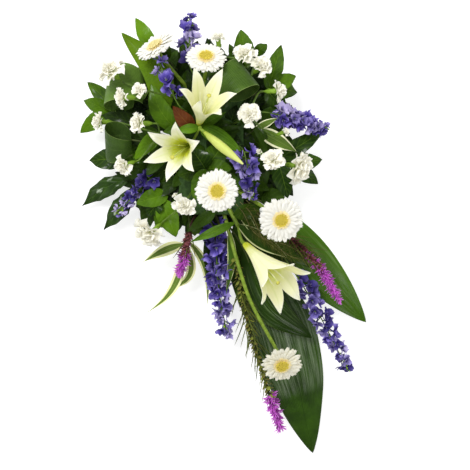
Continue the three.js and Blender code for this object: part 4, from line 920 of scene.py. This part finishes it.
for name, stem in lilyStems.items():
    peak = at(stem["top"])
    lines = [tapered(rootedLine(stem["entry"], [peak]), 3.4, 3.0)]
    for flower in stem["flowers"]:
        foot, mouth = at(lilies[flower]["base"]), at(lilies[flower]["mouth"])
        branch = smoothLine([peak, below(foot, mouth, 10), below(foot, mouth, -2)], 10)
        lines.append(tapered(branch, 1.8, 3.6))
    if name == "head":
        foot, tip = at(lilyBud["base"]), at(lilyBud["tip"])
        branch = smoothLine([peak, below(foot, tip, 6), below(foot, tip, -3)], 8)
        lines.append(tapered(branch, 1.3, 3.0))
    stemMesh = grown("stems", "stem", lines, sides=10)
    pile = Pile()
    used = sorted({leaf[5] for leaf in stem["leaves"]})
    for order, (start, tip, width, arch, outline, look, tone) in enumerate(stem["leaves"]):
        base = np.array(stem["entry"]) * mm
        line = bowed(base + (peak - base) * start, at(tip), arch, 26)
        pile.leaf(line, width, outline, cup=0.1, fold=0.12, wave=0.03, waves=1.4, seed=order, tone=tone,
                  slot=used.index(look), columns=12)
    leafMesh = pile.mesh(name, [looks[look] for look in used])
    addPiece(f"lily_stem_leaves_{name}", [leafMesh, stemMesh], "lily_leaf", f"lily_stem_{name}")
print("lilies", len(lilies))

# Gerberas: rings of rays, a collar of short rays and a disc of florets on a bare stem

# tilt is from straight up, towards a compass angle from +X; radius in mm
gerberas = {
    "top_left": {"head": (155, 46, 122), "tilt": 57, "toward": 123, "radius": 32, "entry": (-40, 96, 74),
        "fringe": 0.26, "disc": "paleFloret"},
    "top": {"head": (206, 57, 138), "tilt": 40, "toward": 88, "radius": 31, "entry": (-14, 90, 74)},
    "centre": {"head": (217, 191, 186), "tilt": 8, "toward": 300, "radius": 32, "entry": (4, -44, 74)},
    "right": {"head": (281, 220, 152), "tilt": 16, "toward": 310, "radius": 34, "entry": (34, -62, 74)},
    "tail": {"head": (282, 365, 88), "tilt": 32, "toward": 285, "radius": 31, "entry": (20, -104, 66),
        "by": [(236, 257, 78), (250, 300, 76)], "fringe": 0.2, "look": "creamRay"},
}
gerbera = {"disc": 9.5, "rayStart": 6.5, "depth": 8, "neck": 26, "stem": 3.1, "shortRays": 90, "florets": 190,
           "bracts": 34}
rayRings = [  # count, reach as a share of the head, height in mm, lean in degrees, start of the turn
    {"count": 30, "reach": 1.0, "height": -1.0, "lean": 1, "start": 0.0},
    {"count": 30, "reach": 0.96, "height": -0.2, "lean": -2, "start": 0.5},
    {"count": 26, "reach": 0.76, "height": 0.9, "lean": -5, "start": 0.2},
]


# One unit long towards +X, face up, and pitched so that it slides under the next.
def rayPart(seed, girth=0.142, rows=8, columns=4):
    rand = np.random.default_rng(seed)
    v, u = spans(rows, columns)
    width = girth * (0.34 + 0.66 * ramp(v, 0, 0.7)) * (1 - ramp(v, 0.76, 1.05)) ** 0.5
    notch = 1 - 0.03 * np.cos(3 * np.pi * u + rand.uniform(-0.5, 0.5)) * ramp(v, 0.8, 1.0)
    bend = rand.uniform(-0.02, 0.05)
    y = u * width + rand.uniform(-0.02, 0.02) * v ** 2
    z = -0.015 * u ** 2 - bend * v ** 2 + 0.003 * np.cos(4.5 * np.pi * u) * v - 0.04 * y
    grid = np.stack([v * notch, y, z], -1)
    return Pile().sheet(grid[:, ::-1], 0.014)


def floretPart(seed):  # a small spike with an open top, one unit high, lying along +X
    rand = np.random.default_rng(seed)
    line = np.array([[0, 0, 0], [0.5, 0, 0], [0.85, 0, 0.0], [1.0, 0, 0.05]])
    return Pile().tube(line, np.array([0.2, 0.26, 0.4, 0.18]) * rand.uniform(0.85, 1.15), 5)


rays = partsOf("ray", [rayPart(seed) for seed in range(5)])
shortRays = partsOf("shortRay", [rayPart(seed, 0.34, 4, 3) for seed in range(3)])
discFlorets = partsOf("discFloret", [floretPart(seed) for seed in range(3)])

for order, (name, bloom) in enumerate(gerberas.items()):
    place, direction = at(bloom["head"]), facing(bloom["tilt"], bloom["toward"])
    spin = 0.4 * order
    meshes = []
    for ring, rule in enumerate(rayRings):
        turn = 2 * math.pi / rule["count"]
        mesh = grown("round", bloom.get("look", "gerberaRay"), parts=rays, count=rule["count"],
                     size=bloom["radius"] * rule["reach"] - gerbera["rayStart"], lean=rule["lean"], turn=turn,
                     scatter=bloom.get("fringe", 0.13), seed=17 * order + ring, away=gerbera["rayStart"],
                     height=rule["height"])
        meshes.append(moved(mesh, place, direction, spin + turn * rule["start"]))
    addPiece(f"gerbera_rays_{name}", meshes, "gerbera_ray", f"gerbera_{name}_rays")
    disc, discLook = gerbera["disc"], bloom.get("disc", "discFloret")
    collar = grown("round", "discCollar", parts=shortRays, count=gerbera["shortRays"], size=(5.0, 3.4),
                   lean=(-3, -35), scatter=0.2, seed=order, away=(disc + 0.3, 0.78 * disc), height=(1.6, 2.6))
    florets = grown("round", discLook, parts=discFlorets, count=gerbera["florets"], size=(1.8, 2.4),
                    lean=(-86, -70), scatter=0.25, seed=order + 5, away=(0.0, 0.98 * disc), height=(2.6, 2.2),
                    crowd=0.5)
    domeLine = np.array([[0, 0, 0.6], [0, 0, 1.4], [0, 0, 2.4], [0, 0, 3.0]]) * mm
    dome = Pile().tube(domeLine, np.array([0.9, 1.0, 0.86, 0.4]) * disc * mm, 24)
    heart = [moved(mesh, place + direction * 0.4 * mm, direction, spin)
             for mesh in (dome.mesh("dome", [looks[discLook]]), collar, florets)]
    addPiece(f"gerbera_disc_florets_{name}", heart, "gerbera_disc", f"gerbera_{name}_disc")
    neck = place - direction * gerbera["neck"] * mm
    top = place - direction * (gerbera["depth"] + 1) * mm
    stalk = rootedLine(bloom["entry"], [*map(at, bloom.get("by", [])), neck, top])
    cup = place - direction * (np.array([[9.8], [7.6], [5.0], [3.0], [1.6]]) * mm)
    stemMesh = grown("stems", "stem", [(stalk, np.linspace(1.0, 0.85, len(stalk)) * gerbera["stem"] * mm),
                                       (cup, np.array([2.2, 5.0, 7.4, 8.0, 7.2]) * mm)], sides=12)
    bracts = grown("round", "calyx", parts=rays, count=gerbera["bracts"], size=(9, 6), lean=(-8, 6),
                   scatter=0.2, seed=order + 9, away=(5.2, 6.4), height=(-4.2, -2.2))
    bracts = moved(bracts, place, direction)
    addPiece(f"gerbera_stalk_{name}", [stemMesh, bracts], "stem", f"gerbera_{name}_stem")
print("gerberas", len(gerberas))

# Spray carnations: ruffled petals packed on a long green calyx

# A head is: place, tilt, the angle that it leans towards, radius in mm.
carnations = {
    "left_upper": {"entry": (-42, 74, 74), "fork": (148, 91, 134), "heads": [
        ((110, 71, 134), 50, 140, 21), ((122.6, 98, 142), 72, 185, 15), ((139, 90, 146), 25, 115, 11)]},
    "left_lower": {"entry": (-44, 12, 74), "fork": (160, 134, 112), "heads": [
        ((139, 123, 150), 62, 180, 17), ((99.5, 122, 84), 74, 180, 15), ((124, 166, 118), 55, 205, 16)]},
    "bottom": {"entry": (-28, -66, 74), "fork": (183, 206, 96), "heads": [
        ((184.5, 205.5, 132), 25, 250, 16), ((151, 233, 84), 60, 225, 25), ((176, 196, 120), 45, 150, 6)]},
    "right_upper": {"entry": (20, 104, 60), "by": [(244, 68, 66)], "fork": (256, 60, 84), "heads": [
        ((244, 54, 122), 38, 105, 17), ((261, 66, 126), 40, 40, 18), ((218, 38, 108), 60, 95, 11)]},
    "right_middle": {"entry": (34, 36, 74), "fork": (248, 116, 120), "heads": [
        ((249.5, 115, 160), 14, 90, 16.5), ((284, 132, 118), 60, 20, 8), ((278, 91, 116), 72, 0, 15)]},
    "right_lower": {"entry": (42, -18, 74), "fork": (266, 160, 106), "heads": [
        ((273, 160, 150), 30, 120, 17), ((298, 167, 116), 64, 345, 24), ((259.5, 152, 136), 30, 150, 6)]},
}
carnation = {"petals": 32, "calyx": 16, "calyxRadius": 3.6, "stem": 1.4, "budUnder": 10}


def rufflePart(seed):  # a broad petal with a toothed, waved rim, one unit long towards +X
    rand = np.random.default_rng(seed)
    rows, columns = 5, 8
    v, u = spans(rows, columns)
    width = 0.06 + 0.34 * ramp(v, 0.1, 0.85)
    teeth = 1 - ramp(v, 0.7, 1.0) * (0.04 * (np.arange(columns + 1) % 2)[None, :] + 0.24 * u ** 2)
    waves = np.sin(u * rand.uniform(2.4, 4.0) + rand.uniform(0, 6))
    waves = waves + 0.25 * np.sin(u * 8 + rand.uniform(0, 6))
    z = ramp(v, 0.3, 1.0) * 0.15 * waves + 0.16 * v ** 2 * rand.uniform(-1, 0.6)
    grid = np.stack([v * teeth, u * width, z + 0 * u], -1)
    return Pile().sheet(grid[:, ::-1], 0.03)


def calyxPile(scale):  # green cup with five points, hanging down -Z from its head
    pile = Pile()
    heights = np.array([-1.25, -1.0, -0.8, -0.4, 0.0]) * carnation["calyx"] * scale * mm
    radii = np.array([0.36, 0.7, 0.95, 1.05, 1.15]) * carnation["calyxRadius"] * scale * mm
    pile.tube(np.array([[0, 0, z] for z in heights]), radii, 12)
    for count, width, outline, bend in ((5, 3.4, "lance", ((3.9, -2.0), (4.4, 1.0), (5.6, 3.6))),
                                        (4, 4.0, "ovate", ((2.0, -17), (3.8, -12), (4.8, -8)))):
        for i in range(count):
            out = around(2 * math.pi * i / count)
            line = np.array([out * r * scale * mm + up * z * scale * mm for r, z in bend])
            pile.leaf(line, width * scale, outline, columns=4, face=out, thickness=0.4 * mm)
    return pile


ruffles = partsOf("ruffle", [rufflePart(seed) for seed in range(6)])

for order, (name, spray) in enumerate(carnations.items()):
    fork = at(spray["fork"])
    trunk = rootedLine(spray["entry"], [*map(at, spray.get("by", [])), fork])
    lines = [tapered(trunk, 1.9, 1.5)]
    petals, greens = [], []
    for i, (spot, tilt, toward, radius) in enumerate(spray["heads"]):
        place, direction = at(spot), facing(tilt, toward)
        bud = radius < carnation["budUnder"]
        scale = 0.7 if bud else 1.0
        count = 12 if bud else int(carnation["petals"] * (0.75 + 0.25 * radius / 16))
        head = grown("round", "carnationPetal", parts=ruffles, count=count,
                     size=(1.08 * radius, 0.76 * radius), lean=(-40 if bud else -4, -86), scatter=0.42,
                     seed=31 * order + i, away=(1.8 * scale, 0.3), height=(-0.12 * radius, 0.02 * radius))
        petals.append(moved(head, place, direction))
        foot = place - direction * 0.2 * radius * mm
        greens.append(moved(calyxPile(scale).mesh("calyx", [looks["calyx"]]), foot, direction, i))
        neck = foot - direction * 1.2 * carnation["calyx"] * scale * mm
        far = foot - direction * (carnation["calyx"] + 10) * scale * mm
        lines.append((smoothLine([fork, far, neck], 10), carnation["stem"] * mm))
    node = f"carnation_spray_{name}"
    addPiece(f"carnation_heads_{name}", petals, "carnation_petal", node)
    stemMesh = grown("stems", "sprayStem", lines, sides=8)
    addPiece(f"carnation_green_{name}", [stemMesh, *greens], "stem", node)
print("carnation sprays", len(carnations))

# Delphiniums: florets of five sepals with a pale eye, all round a green stem

delphiniums = {
    "top": {"entry": (-22, 104, 66), "by": [(190, 66, 78)], "end": (190, 20, 62), "size": 18,
        "spacing": 6.5, "tones": (1.1, 1.2), "reach": (0.3, 0.97)},
    "upper_left": {"entry": (-34, 52, 74), "by": [(178, 104, 116)], "end": (157, 58, 126), "size": 16,
        "spacing": 8, "tones": (0.3, 1.8), "reach": (0.5, 0.97)},
    "right": {"entry": (50, 48, 64), "by": [(262, 112, 80)], "end": (326, 129, 78), "size": 15,
        "spacing": 2.9, "tones": (1.1, 0.95), "reach": (0.4, 0.97)},
    "centre": {"entry": (30, 4, 74), "by": [(243, 150, 108)], "end": (252, 196, 112), "size": 18,
        "spacing": 6, "tones": (0.7, 1.8), "reach": (0.4, 0.97)},
    "left": {"entry": (-50, -32, 64), "by": [(160, 172, 66)], "end": (117, 213, 50), "size": 15,
        "spacing": 5, "tones": (0.5, 1.2), "reach": (0.35, 0.97)},
    "tail_left": {"entry": (-4, -104, 58), "by": [(215, 236, 62), (218, 284, 56)], "end": (227, 334, 44),
        "size": 19, "spacing": 5.2, "tones": (0.6, 0.85), "reach": (0.1, 0.97)},
    "tail_right": {"entry": (40, -104, 58), "by": [(270, 240, 62), (303, 286, 60)], "end": (348, 370, 46),
        "size": 17, "spacing": 6.2, "tones": (0.5, 0.95), "reach": (0.45, 0.97)},
}
delphinium = {"stem": 1.7, "tipBuds": 9, "lastSize": 0.66}


def sepalFlower(seed):  # a stalk's length up +Z, facing +Z, one unit across from middle to rim
    rand = np.random.default_rng(seed)
    pile = Pile()
    lift = 0.62
    for i in range(5):
        out = around(2 * math.pi * (i + rand.uniform(-0.2, 0.2)) / 5)
        side = np.cross(up, out)
        v, u = spans(4, 3)
        width = 0.42 * np.sin(np.pi * (0.06 + 0.88 * v) ** 0.8) ** 0.6
        cup, twist = rand.uniform(-0.3, 1.5), rand.uniform(-0.5, 0.5)
        rise = lift + cup * v ** 1.6 * 0.5 + rand.uniform(0.1, 0.9) * (u ** 2) * width + twist * u * v * 0.5
        rise = rise + 0.07 * np.sin(9 * v + 3 * u + i)
        away = v * rand.uniform(0.7, 1.0) * (1 - 0.25 * max(cup, 0) * v)
        grid = away[..., None] * out + (u * width)[..., None] * side + rise[..., None] * up
        pile.sheet(grid, 0.035)
    for i in range(3):  # the eye
        out = around(2 * math.pi * (i + 0.5) / 3)
        side = np.cross(up, out)
        v, u = spans(2, 2)
        away, rise = 0.04 + 0.14 * v, lift + 0.06 + 0.26 * v
        grid = away[..., None] * out + (u * 0.08)[..., None] * side + (rise + 0 * u)[..., None] * up
        uv = np.stack([0 * v + u / 2 + 0.5, v + 2 + 0 * u], -1)
        pile.sheet(grid, 0.03, uv=uv)
    spur = smoothLine([(0, 0, lift), (0.12, 0, lift - 0.4), (0.5, 0, lift - 0.62)], 3)
    return pile.tube(spur, np.linspace(0.11, 0.03, 4), 4)


def stalkPart():
    return Pile().tube(np.array([[0, 0, 0], [0, 0, 0.4], [0, 0, 0.8]]), [0.06, 0.05, 0.07], 5)


def budPart(seed):
    rand = np.random.default_rng(seed)
    line = np.array([[0, 0, 0], [0, 0, 0.3], [0.02, 0, 0.5], [0.05, 0, 0.75], [0.08, 0, 1.0]])
    return Pile().tube(line, np.array([0.05, 0.07, 0.2, 0.26, 0.08]) * rand.uniform(0.8, 1.2), 7)


sepals = partsOf("sepals", [sepalFlower(seed) for seed in range(6)])
stalks = partsOf("stalk", [stalkPart()])
tightBuds = partsOf("tightBud", [budPart(seed) for seed in range(3)])

for order, (name, spike) in enumerate(delphiniums.items()):
    points = [*map(at, spike["by"]), at(spike["end"])]
    curve = smoothLine([np.array(spike["entry"]) * mm, *points], 24 * len(points))
    length = np.linalg.norm(np.diff(curve, axis=0), axis=1).sum() / mm
    shared = {"lines": [(curve, mm)], "offset": 1.0, "scatter": 0.45, "seed": 7 * order + 1,
              "tone": spike["tones"]}
    count = int(length * (1 - spike["reach"][0]) / spike["spacing"])
    sizes = (spike["size"], delphinium["lastSize"] * spike["size"])
    row = {**shared, "count": count, "reach": spike["reach"], "size": sizes, "lean": (76, 46)}
    flowers = grown("along", "delphiniumPetal", parts=sepals, **row)
    pedicels = grown("along", "sprayStem", parts=stalks, **row)
    tips = grown("along", "calyx", parts=tightBuds, count=delphinium["tipBuds"], reach=(0.9, 1.0),
                 size=(7, 5), lean=(50, 6), **shared)
    stem = rootedLine(spike["entry"], points, 12)
    thickness = np.linspace(1, 0.45, len(stem)) * delphinium["stem"] * mm
    stemMesh = grown("stems", "sprayStem", [(stem, thickness)], sides=8)
    node = f"delphinium_{name}"
    addPiece(f"delphinium_florets_{name}", [flowers], "delphinium_petal", node)
    addPiece(f"delphinium_stalk_{name}", [stemMesh, pedicels, tips], "stem", node)
print("delphinium spikes", len(delphiniums))

# Liatris: bracts all along a stem that ends in a brush of threads

liatrises = {
    "left": {"entry": (-24, -104, 64), "by": [(192, 222, 72), (186, 248, 68)], "end": (180, 274, 56),
        "from": 0.3, "turn": 0.68, "bract": "redBract", "bracts": 110, "threads": 50, "grass": 6,
        "bractSize": 8.5, "brush": 12.5, "early": 6},
    "right": {"entry": (50, -86, 66), "by": [(270, 222, 84), (296, 244, 86), (320, 268, 82)],
        "end": (340, 301, 74), "from": 0.42, "turn": 0.74, "bract": "redBract", "bracts": 120,
        "threads": 44, "grass": 30, "bractSize": 8.5, "brush": 11, "early": 20},
    "tail": {"entry": (6, -104, 68), "by": [(236, 267, 66), (250, 330, 62), (266, 384, 54)],
        "end": (281, 429, 38), "from": 0.2, "turn": 0.85, "bract": "bract", "bracts": 135, "threads": 60,
        "grass": 60, "bractSize": 9.6, "brush": 13.5, "early": 0},
}


def tuftPart(seed):  # one floret: a few threads from one point
    rand = np.random.default_rng(seed)
    pile = Pile()
    for i in range(6):
        turn, lean = 2.4 * i + rand.uniform(-0.4, 0.4), rand.uniform(0.15, 0.75)
        tip = np.array([math.cos(turn) * math.sin(lean), math.sin(turn) * math.sin(lean), math.cos(lean)])
        bend = tip * rand.uniform(0.4, 0.5) + 0.1 * up
        line = smoothLine([np.zeros(3), bend, tip * rand.uniform(0.8, 1.1)], 3)
        pile.tube(line, np.array([1.0, 1.2, 1.0, 0.3]) * 0.068, 3)
    return pile


def bractPart(seed):
    rand = np.random.default_rng(seed)
    line = np.array([[0, 0, 0], [0.1, 0, 0.4], [0.24 * rand.uniform(0.5, 1.5), 0, 0.8], [0.4, 0, 1.0]])
    sides = np.outer([0.18, 0.34, 0.27, 0.03], [-1, 0, 1])
    grid = line[:, None] + np.array([0, 1, 0]) * sides[..., None]
    grid[:, 1, 0] += 0.08
    return Pile().sheet(grid, 0.08)


def threadPart(seed, thickness=0.018, bend=0.3):
    rand = np.random.default_rng(seed)
    sway = rand.uniform(-bend, bend, 2)
    line = smoothLine([np.zeros(3), np.array([sway[0] / 2, 0, 0.5]), np.array([sway[0], sway[1], 1.0])], 5)
    return Pile().tube(line, np.array([0.6, 1, 1, 0.9, 0.7, 0.2]) * thickness, 4)


scales = partsOf("scale", [bractPart(seed) for seed in range(4)])
tufts = partsOf("tuft", [tuftPart(seed) for seed in range(5)])
needles = partsOf("needle", [threadPart(seed) for seed in range(5)])

for order, (name, spike) in enumerate(liatrises.items()):
    curve = smoothLine([np.array(spike["entry"]) * mm, *map(at, spike["by"]), at(spike["end"])], 80)
    steps = np.concatenate([[0], np.cumsum(np.linalg.norm(np.diff(curve, axis=0), axis=1))])
    turn, bractSize, brushSize = spike["turn"], spike["bractSize"], spike["brush"]

    def stretch(start, stop, count):  # evenly spaced points of the curve
        places = np.linspace(start * steps[-1], stop * steps[-1], count)
        return np.stack([np.interp(places, steps, curve[:, k]) for k in range(3)], -1)

    stem = stretch(0, turn, 50)
    mouth = np.array(spike["entry"]) * mm
    stem = np.concatenate([[mouth - unit(stem[2] - mouth) * inFoam * mm], stem])
    stemMesh = grown("stems", spike["bract"], [tapered(stem, 2.0, 1.6)], sides=8)
    shared = {"lines": [(curve, mm)], "seed": order * 13 + 2}
    bracts = grown("along", spike["bract"], parts=scales, count=spike["bracts"], reach=(spike["from"], turn),
                   size=(bractSize, 0.92 * bractSize), lean=(34, 32), scatter=0.5, offset=1.2, **shared)
    grass = grown("along", "grass", parts=needles, count=spike["grass"], reach=(0.3, 0.9 * turn),
                  size=(52, 34), lean=(24, 18), scatter=0.4, offset=1.2, **shared)
    brush = grown("along", "liatrisThread", parts=tufts, count=spike["threads"], reach=(turn - 0.02, 0.99),
                  size=(brushSize, 0.8 * brushSize), lean=(66, 30), scatter=0.5, offset=0.8, **shared)
    early = grown("along", "liatrisThread", parts=tufts, count=spike["early"], reach=(turn - 0.18, turn),
                  size=(5, 9), lean=(50, 60), scatter=0.6, offset=3.0, **shared)
    core = Pile().tube(*tapered(stretch(turn, 0.99, 12), 2.6, 1.0), 8)
    addPiece(f"liatris_bracts_{name}", [stemMesh, bracts, grass], "liatris_bract", f"liatris_{name}")
    addPiece(f"liatris_threads_{name}", [core.mesh("core", [looks["liatrisThread"]]), brush, early],
             "liatris_thread", f"liatris_{name}_brush")
print("liatris spikes", len(liatrises))

# Leaves that hide the foam and fill the dark of the head, in a darker copy of the salal green: painted shade

under = {"count": 330, "seed": 11, "length": (30, 56), "width": (17, 29), "middle": (202, 137),
         "spread": (90, 96), "filled": 0.84, "top": 72, "fall": 44, "droop": 14, "lowest": 10,
         "rimCentre": (-14, 18), "rim": (148, 156)}
pile = Pile()
rand = np.random.default_rng(under["seed"])
for i in range(under["count"]):
    angle = goldenTurn * i
    share = math.sqrt((i + 0.5) / under["count"]) * under["filled"]
    x, y = under["middle"]
    wide, deep = under["spread"]
    spot = at((x + wide * share * math.cos(angle), y - deep * share * math.sin(angle),
               under["top"] - under["fall"] * share ** 1.5))
    heading = angle + rand.uniform(-1.1, 1.1)
    climb = rand.uniform(-0.15, 0.6) * (1.15 - share)
    reach = around(heading) * math.cos(climb) + up * math.sin(climb)
    tip = spot + reach * rand.uniform(*under["length"]) * mm
    tip[2] = max(tip[2] - under["droop"] * mm * share, under["lowest"] * mm)
    beyond = (tip[:2] / mm - under["rimCentre"]) / under["rim"]
    if np.linalg.norm(beyond) > 1:  # no leaf passes the rim of the head
        tip[:2] = (unit(beyond) * under["rim"] + under["rimCentre"]) * mm
    line = bowed(spot, tip, rand.uniform(2, 8), 11)
    # tones run lower, so the leaves darker, towards the middle of the head
    pile.leaf(line, rand.uniform(*under["width"]), "ovate", columns=6, roll=rand.uniform(-30, 30), fold=0.14,
              wave=0.04, waves=1.5, seed=i, tone=rand.uniform(0, 1) * (0.45 + 0.55 * share))
addPiece("under_leaves", [pile.mesh("under", [looks["under"]])], "salal_leaf")
print("leaves over the foam", under["count"])

# Many of these take the darker under-leaf look, which paints shade where they lie deep in the head.
loose = [  # places from base to tip, width in mm, outline, look, tone
    ([(176, 130, 84), (160, 110, 98), (151, 84, 94)], 32, "ovate", "salal", 0.35),
    ([(158, 134, 92), (148, 144, 98), (134, 160, 90)], 24, "ovate", "salal", 0.6),
    ([(240, 205, 58), (254, 220, 60), (268, 240, 54)], 30, "ovate", "under", 0.2),
    ([(252, 122, 84), (262, 136, 90), (266, 156, 84)], 16, "lance", "under", 0.5),
    ([(150, 200, 50), (148, 214, 44), (146, 232, 40)], 26, "ovate", "under", 0.3),
    ([(144, 130, 60), (122, 119, 62), (102, 115, 50)], 28, "ovate", "under", 0.2),
    ([(266, 168, 50), (282, 182, 48), (293, 196, 42)], 26, "ovate", "under", 0.1),
    ([(264, 172, 46), (273, 186, 42), (284, 199, 38)], 24, "ovate", "under", 0.1),
    ([(194, 129, 96), (184, 120, 104), (173, 106, 98)], 25, "ovate", "copper", 0.35),
    ([(216, 210, 84), (204, 219, 88), (187, 232, 80)], 20, "lance", "under", 0.5),

    ([(238, 216, 46), (246, 275, 36), (264, 352, 20)], 44, "strap", "under", 0.35),
    ([(236, 224, 50), (236, 262, 44), (240, 308, 30)], 28, "lance", "under", 0.55),
    ([(229, 228, 74), (232, 258, 69), (226, 294, 54)], 14, "lance", "paleEdged", 0.9),
    ([(256, 234, 56), (274, 252, 52), (300, 274, 42)], 34, "lance", "under", 0.3),
    ([(215, 214, 50), (214, 255, 44), (212, 292, 34)], 34, "lance", "under", 0.1),
    ([(262, 216, 60), (280, 242, 56), (310, 268, 46)], 34, "lance", "under", 0.5),
    ([(250, 222, 56), (262, 262, 50), (270, 304, 42)], 30, "lance", "under", 0.2),
    ([(236, 206, 70), (248, 222, 84), (262, 246, 78)], 15, "lance", "paleEdged", 0.7),
    ([(262, 196, 50), (274, 200, 56), (290, 214, 48)], 34, "ovate", "under", 0.6),
]
pile = Pile()
used = sorted({leaf[3] for leaf in loose})
for order, (places, width, outline, look, tone) in enumerate(loose):
    line = smoothLine([at(place) for place in places], 26)
    pile.leaf(line, width, outline, fold=0.15, wave=0.04, waves=1.4, swell=1.0, seed=order, tone=tone,
              slot=used.index(look))
addPiece("loose_leaves", [pile.mesh("loose_leaves", [looks[look] for look in used])], "lily_leaf")

tendrils = [
    [(236, 204, 84), (244, 214, 96), (252, 230, 94), (272, 246, 92), (286, 258, 84)],
    [(240, 202, 84), (250, 212, 98), (256, 224, 96), (264, 240, 94), (280, 250, 92)],
    [(246, 200, 82), (252, 206, 92), (262, 220, 96), (268, 232, 90)],
    [(250, 226, 90), (266, 240, 96), (284, 244, 94), (300, 252, 88)],
    [(262, 236, 92), (276, 246, 96), (290, 256, 92), (304, 260, 86)],
]
tendrilLines = [(smoothLine([at(place) for place in places], 30), 0.55 * mm) for places in tendrils]
wisps = [grown("along", "grass", [line], parts=needles, count=130, size=(15, 11), lean=(55, 35), scatter=0.6,
               seed=5 + i, reach=(0.1, 1.0), offset=0.0) for i, line in enumerate(tendrilLines)]
tendrilMesh = grown("stems", "tendril", tendrilLines, sides=5)
addPiece("tendrils", [tendrilMesh, *wisps], "liatris_bract")

addPiece("leaf_stalks", [grown("stems", "twig", twigLines, sides=8)], "stem")

for name in ("foam", "tray"):
    for materialSlot in frame["nodes"][name].material_slots:
        materialSlot.material = looks[name]

for collection in list(bpy.data.collections):  # the parts have been repeated where they belong
    if collection.name != "Collection":
        for part in list(collection.objects):
            bpy.data.objects.remove(part)
        bpy.data.collections.remove(collection)

# Floor, light and camera

floorMesh = bpy.data.meshes.new("floor")
floorMesh.from_pydata([(-9, -9, 0), (9, -9, 0), (9, 9, 0), (-9, 9, 0)], [], [(0, 1, 2, 3)])
floor = bpy.data.objects.new("floor", floorMesh)
scene.collection.objects.link(floor)
paper = bpy.data.materials.new("paper")
paper.use_nodes = True
paperInputs = paper.node_tree.nodes["Principled BSDF"].inputs
paperInputs["Base Color"].default_value = (0.5, 0.5, 0.5, 1)
paperInputs["Roughness"].default_value = 0.9
paperInputs["Emission Color"].default_value = (1, 1, 1, 1)
paperInputs["Emission Strength"].default_value = 0.7
floorMesh.materials.append(paper)

lights = {
    "key": {"place": (-0.8, 0.9, 2.0), "power": 50, "size": 1.0},
    "fill": {"place": (0.8, -1.4, 1.8), "power": 12, "size": 1.3},
    "side": {"place": (1.6, 0.6, 1.3), "power": 7, "size": 1.0},
}
for name, light in lights.items():
    data = bpy.data.lights.new(name, "AREA")
    data.energy, data.size = light["power"], light["size"]
    lamp = bpy.data.objects.new(name, data)
    lamp.location = light["place"]
    aim = Vector((0, -0.1, 0.05)) - Vector(light["place"])
    lamp.rotation_euler = aim.to_track_quat("-Z", "Y").to_euler()
    scene.collection.objects.link(lamp)
world = bpy.data.worlds.new("studio")
world.use_nodes = True
world.node_tree.nodes["Background"].inputs["Color"].default_value = (1, 1, 1, 1)
world.node_tree.nodes["Background"].inputs["Strength"].default_value = 0.46
scene.world = world
scene.view_settings.view_transform = "Standard"

cameraData = bpy.data.cameras.new("camera")
cameraData.lens = cameraData.sensor_width * view["cameraHeight"] / (view["size"] * view["pixel"])
camera = bpy.data.objects.new("camera", cameraData)
camera.location = at((view["middle"], view["middle"], 0)) + up * view["cameraHeight"] * mm
scene.collection.objects.link(camera)
scene.camera = camera

print("done")
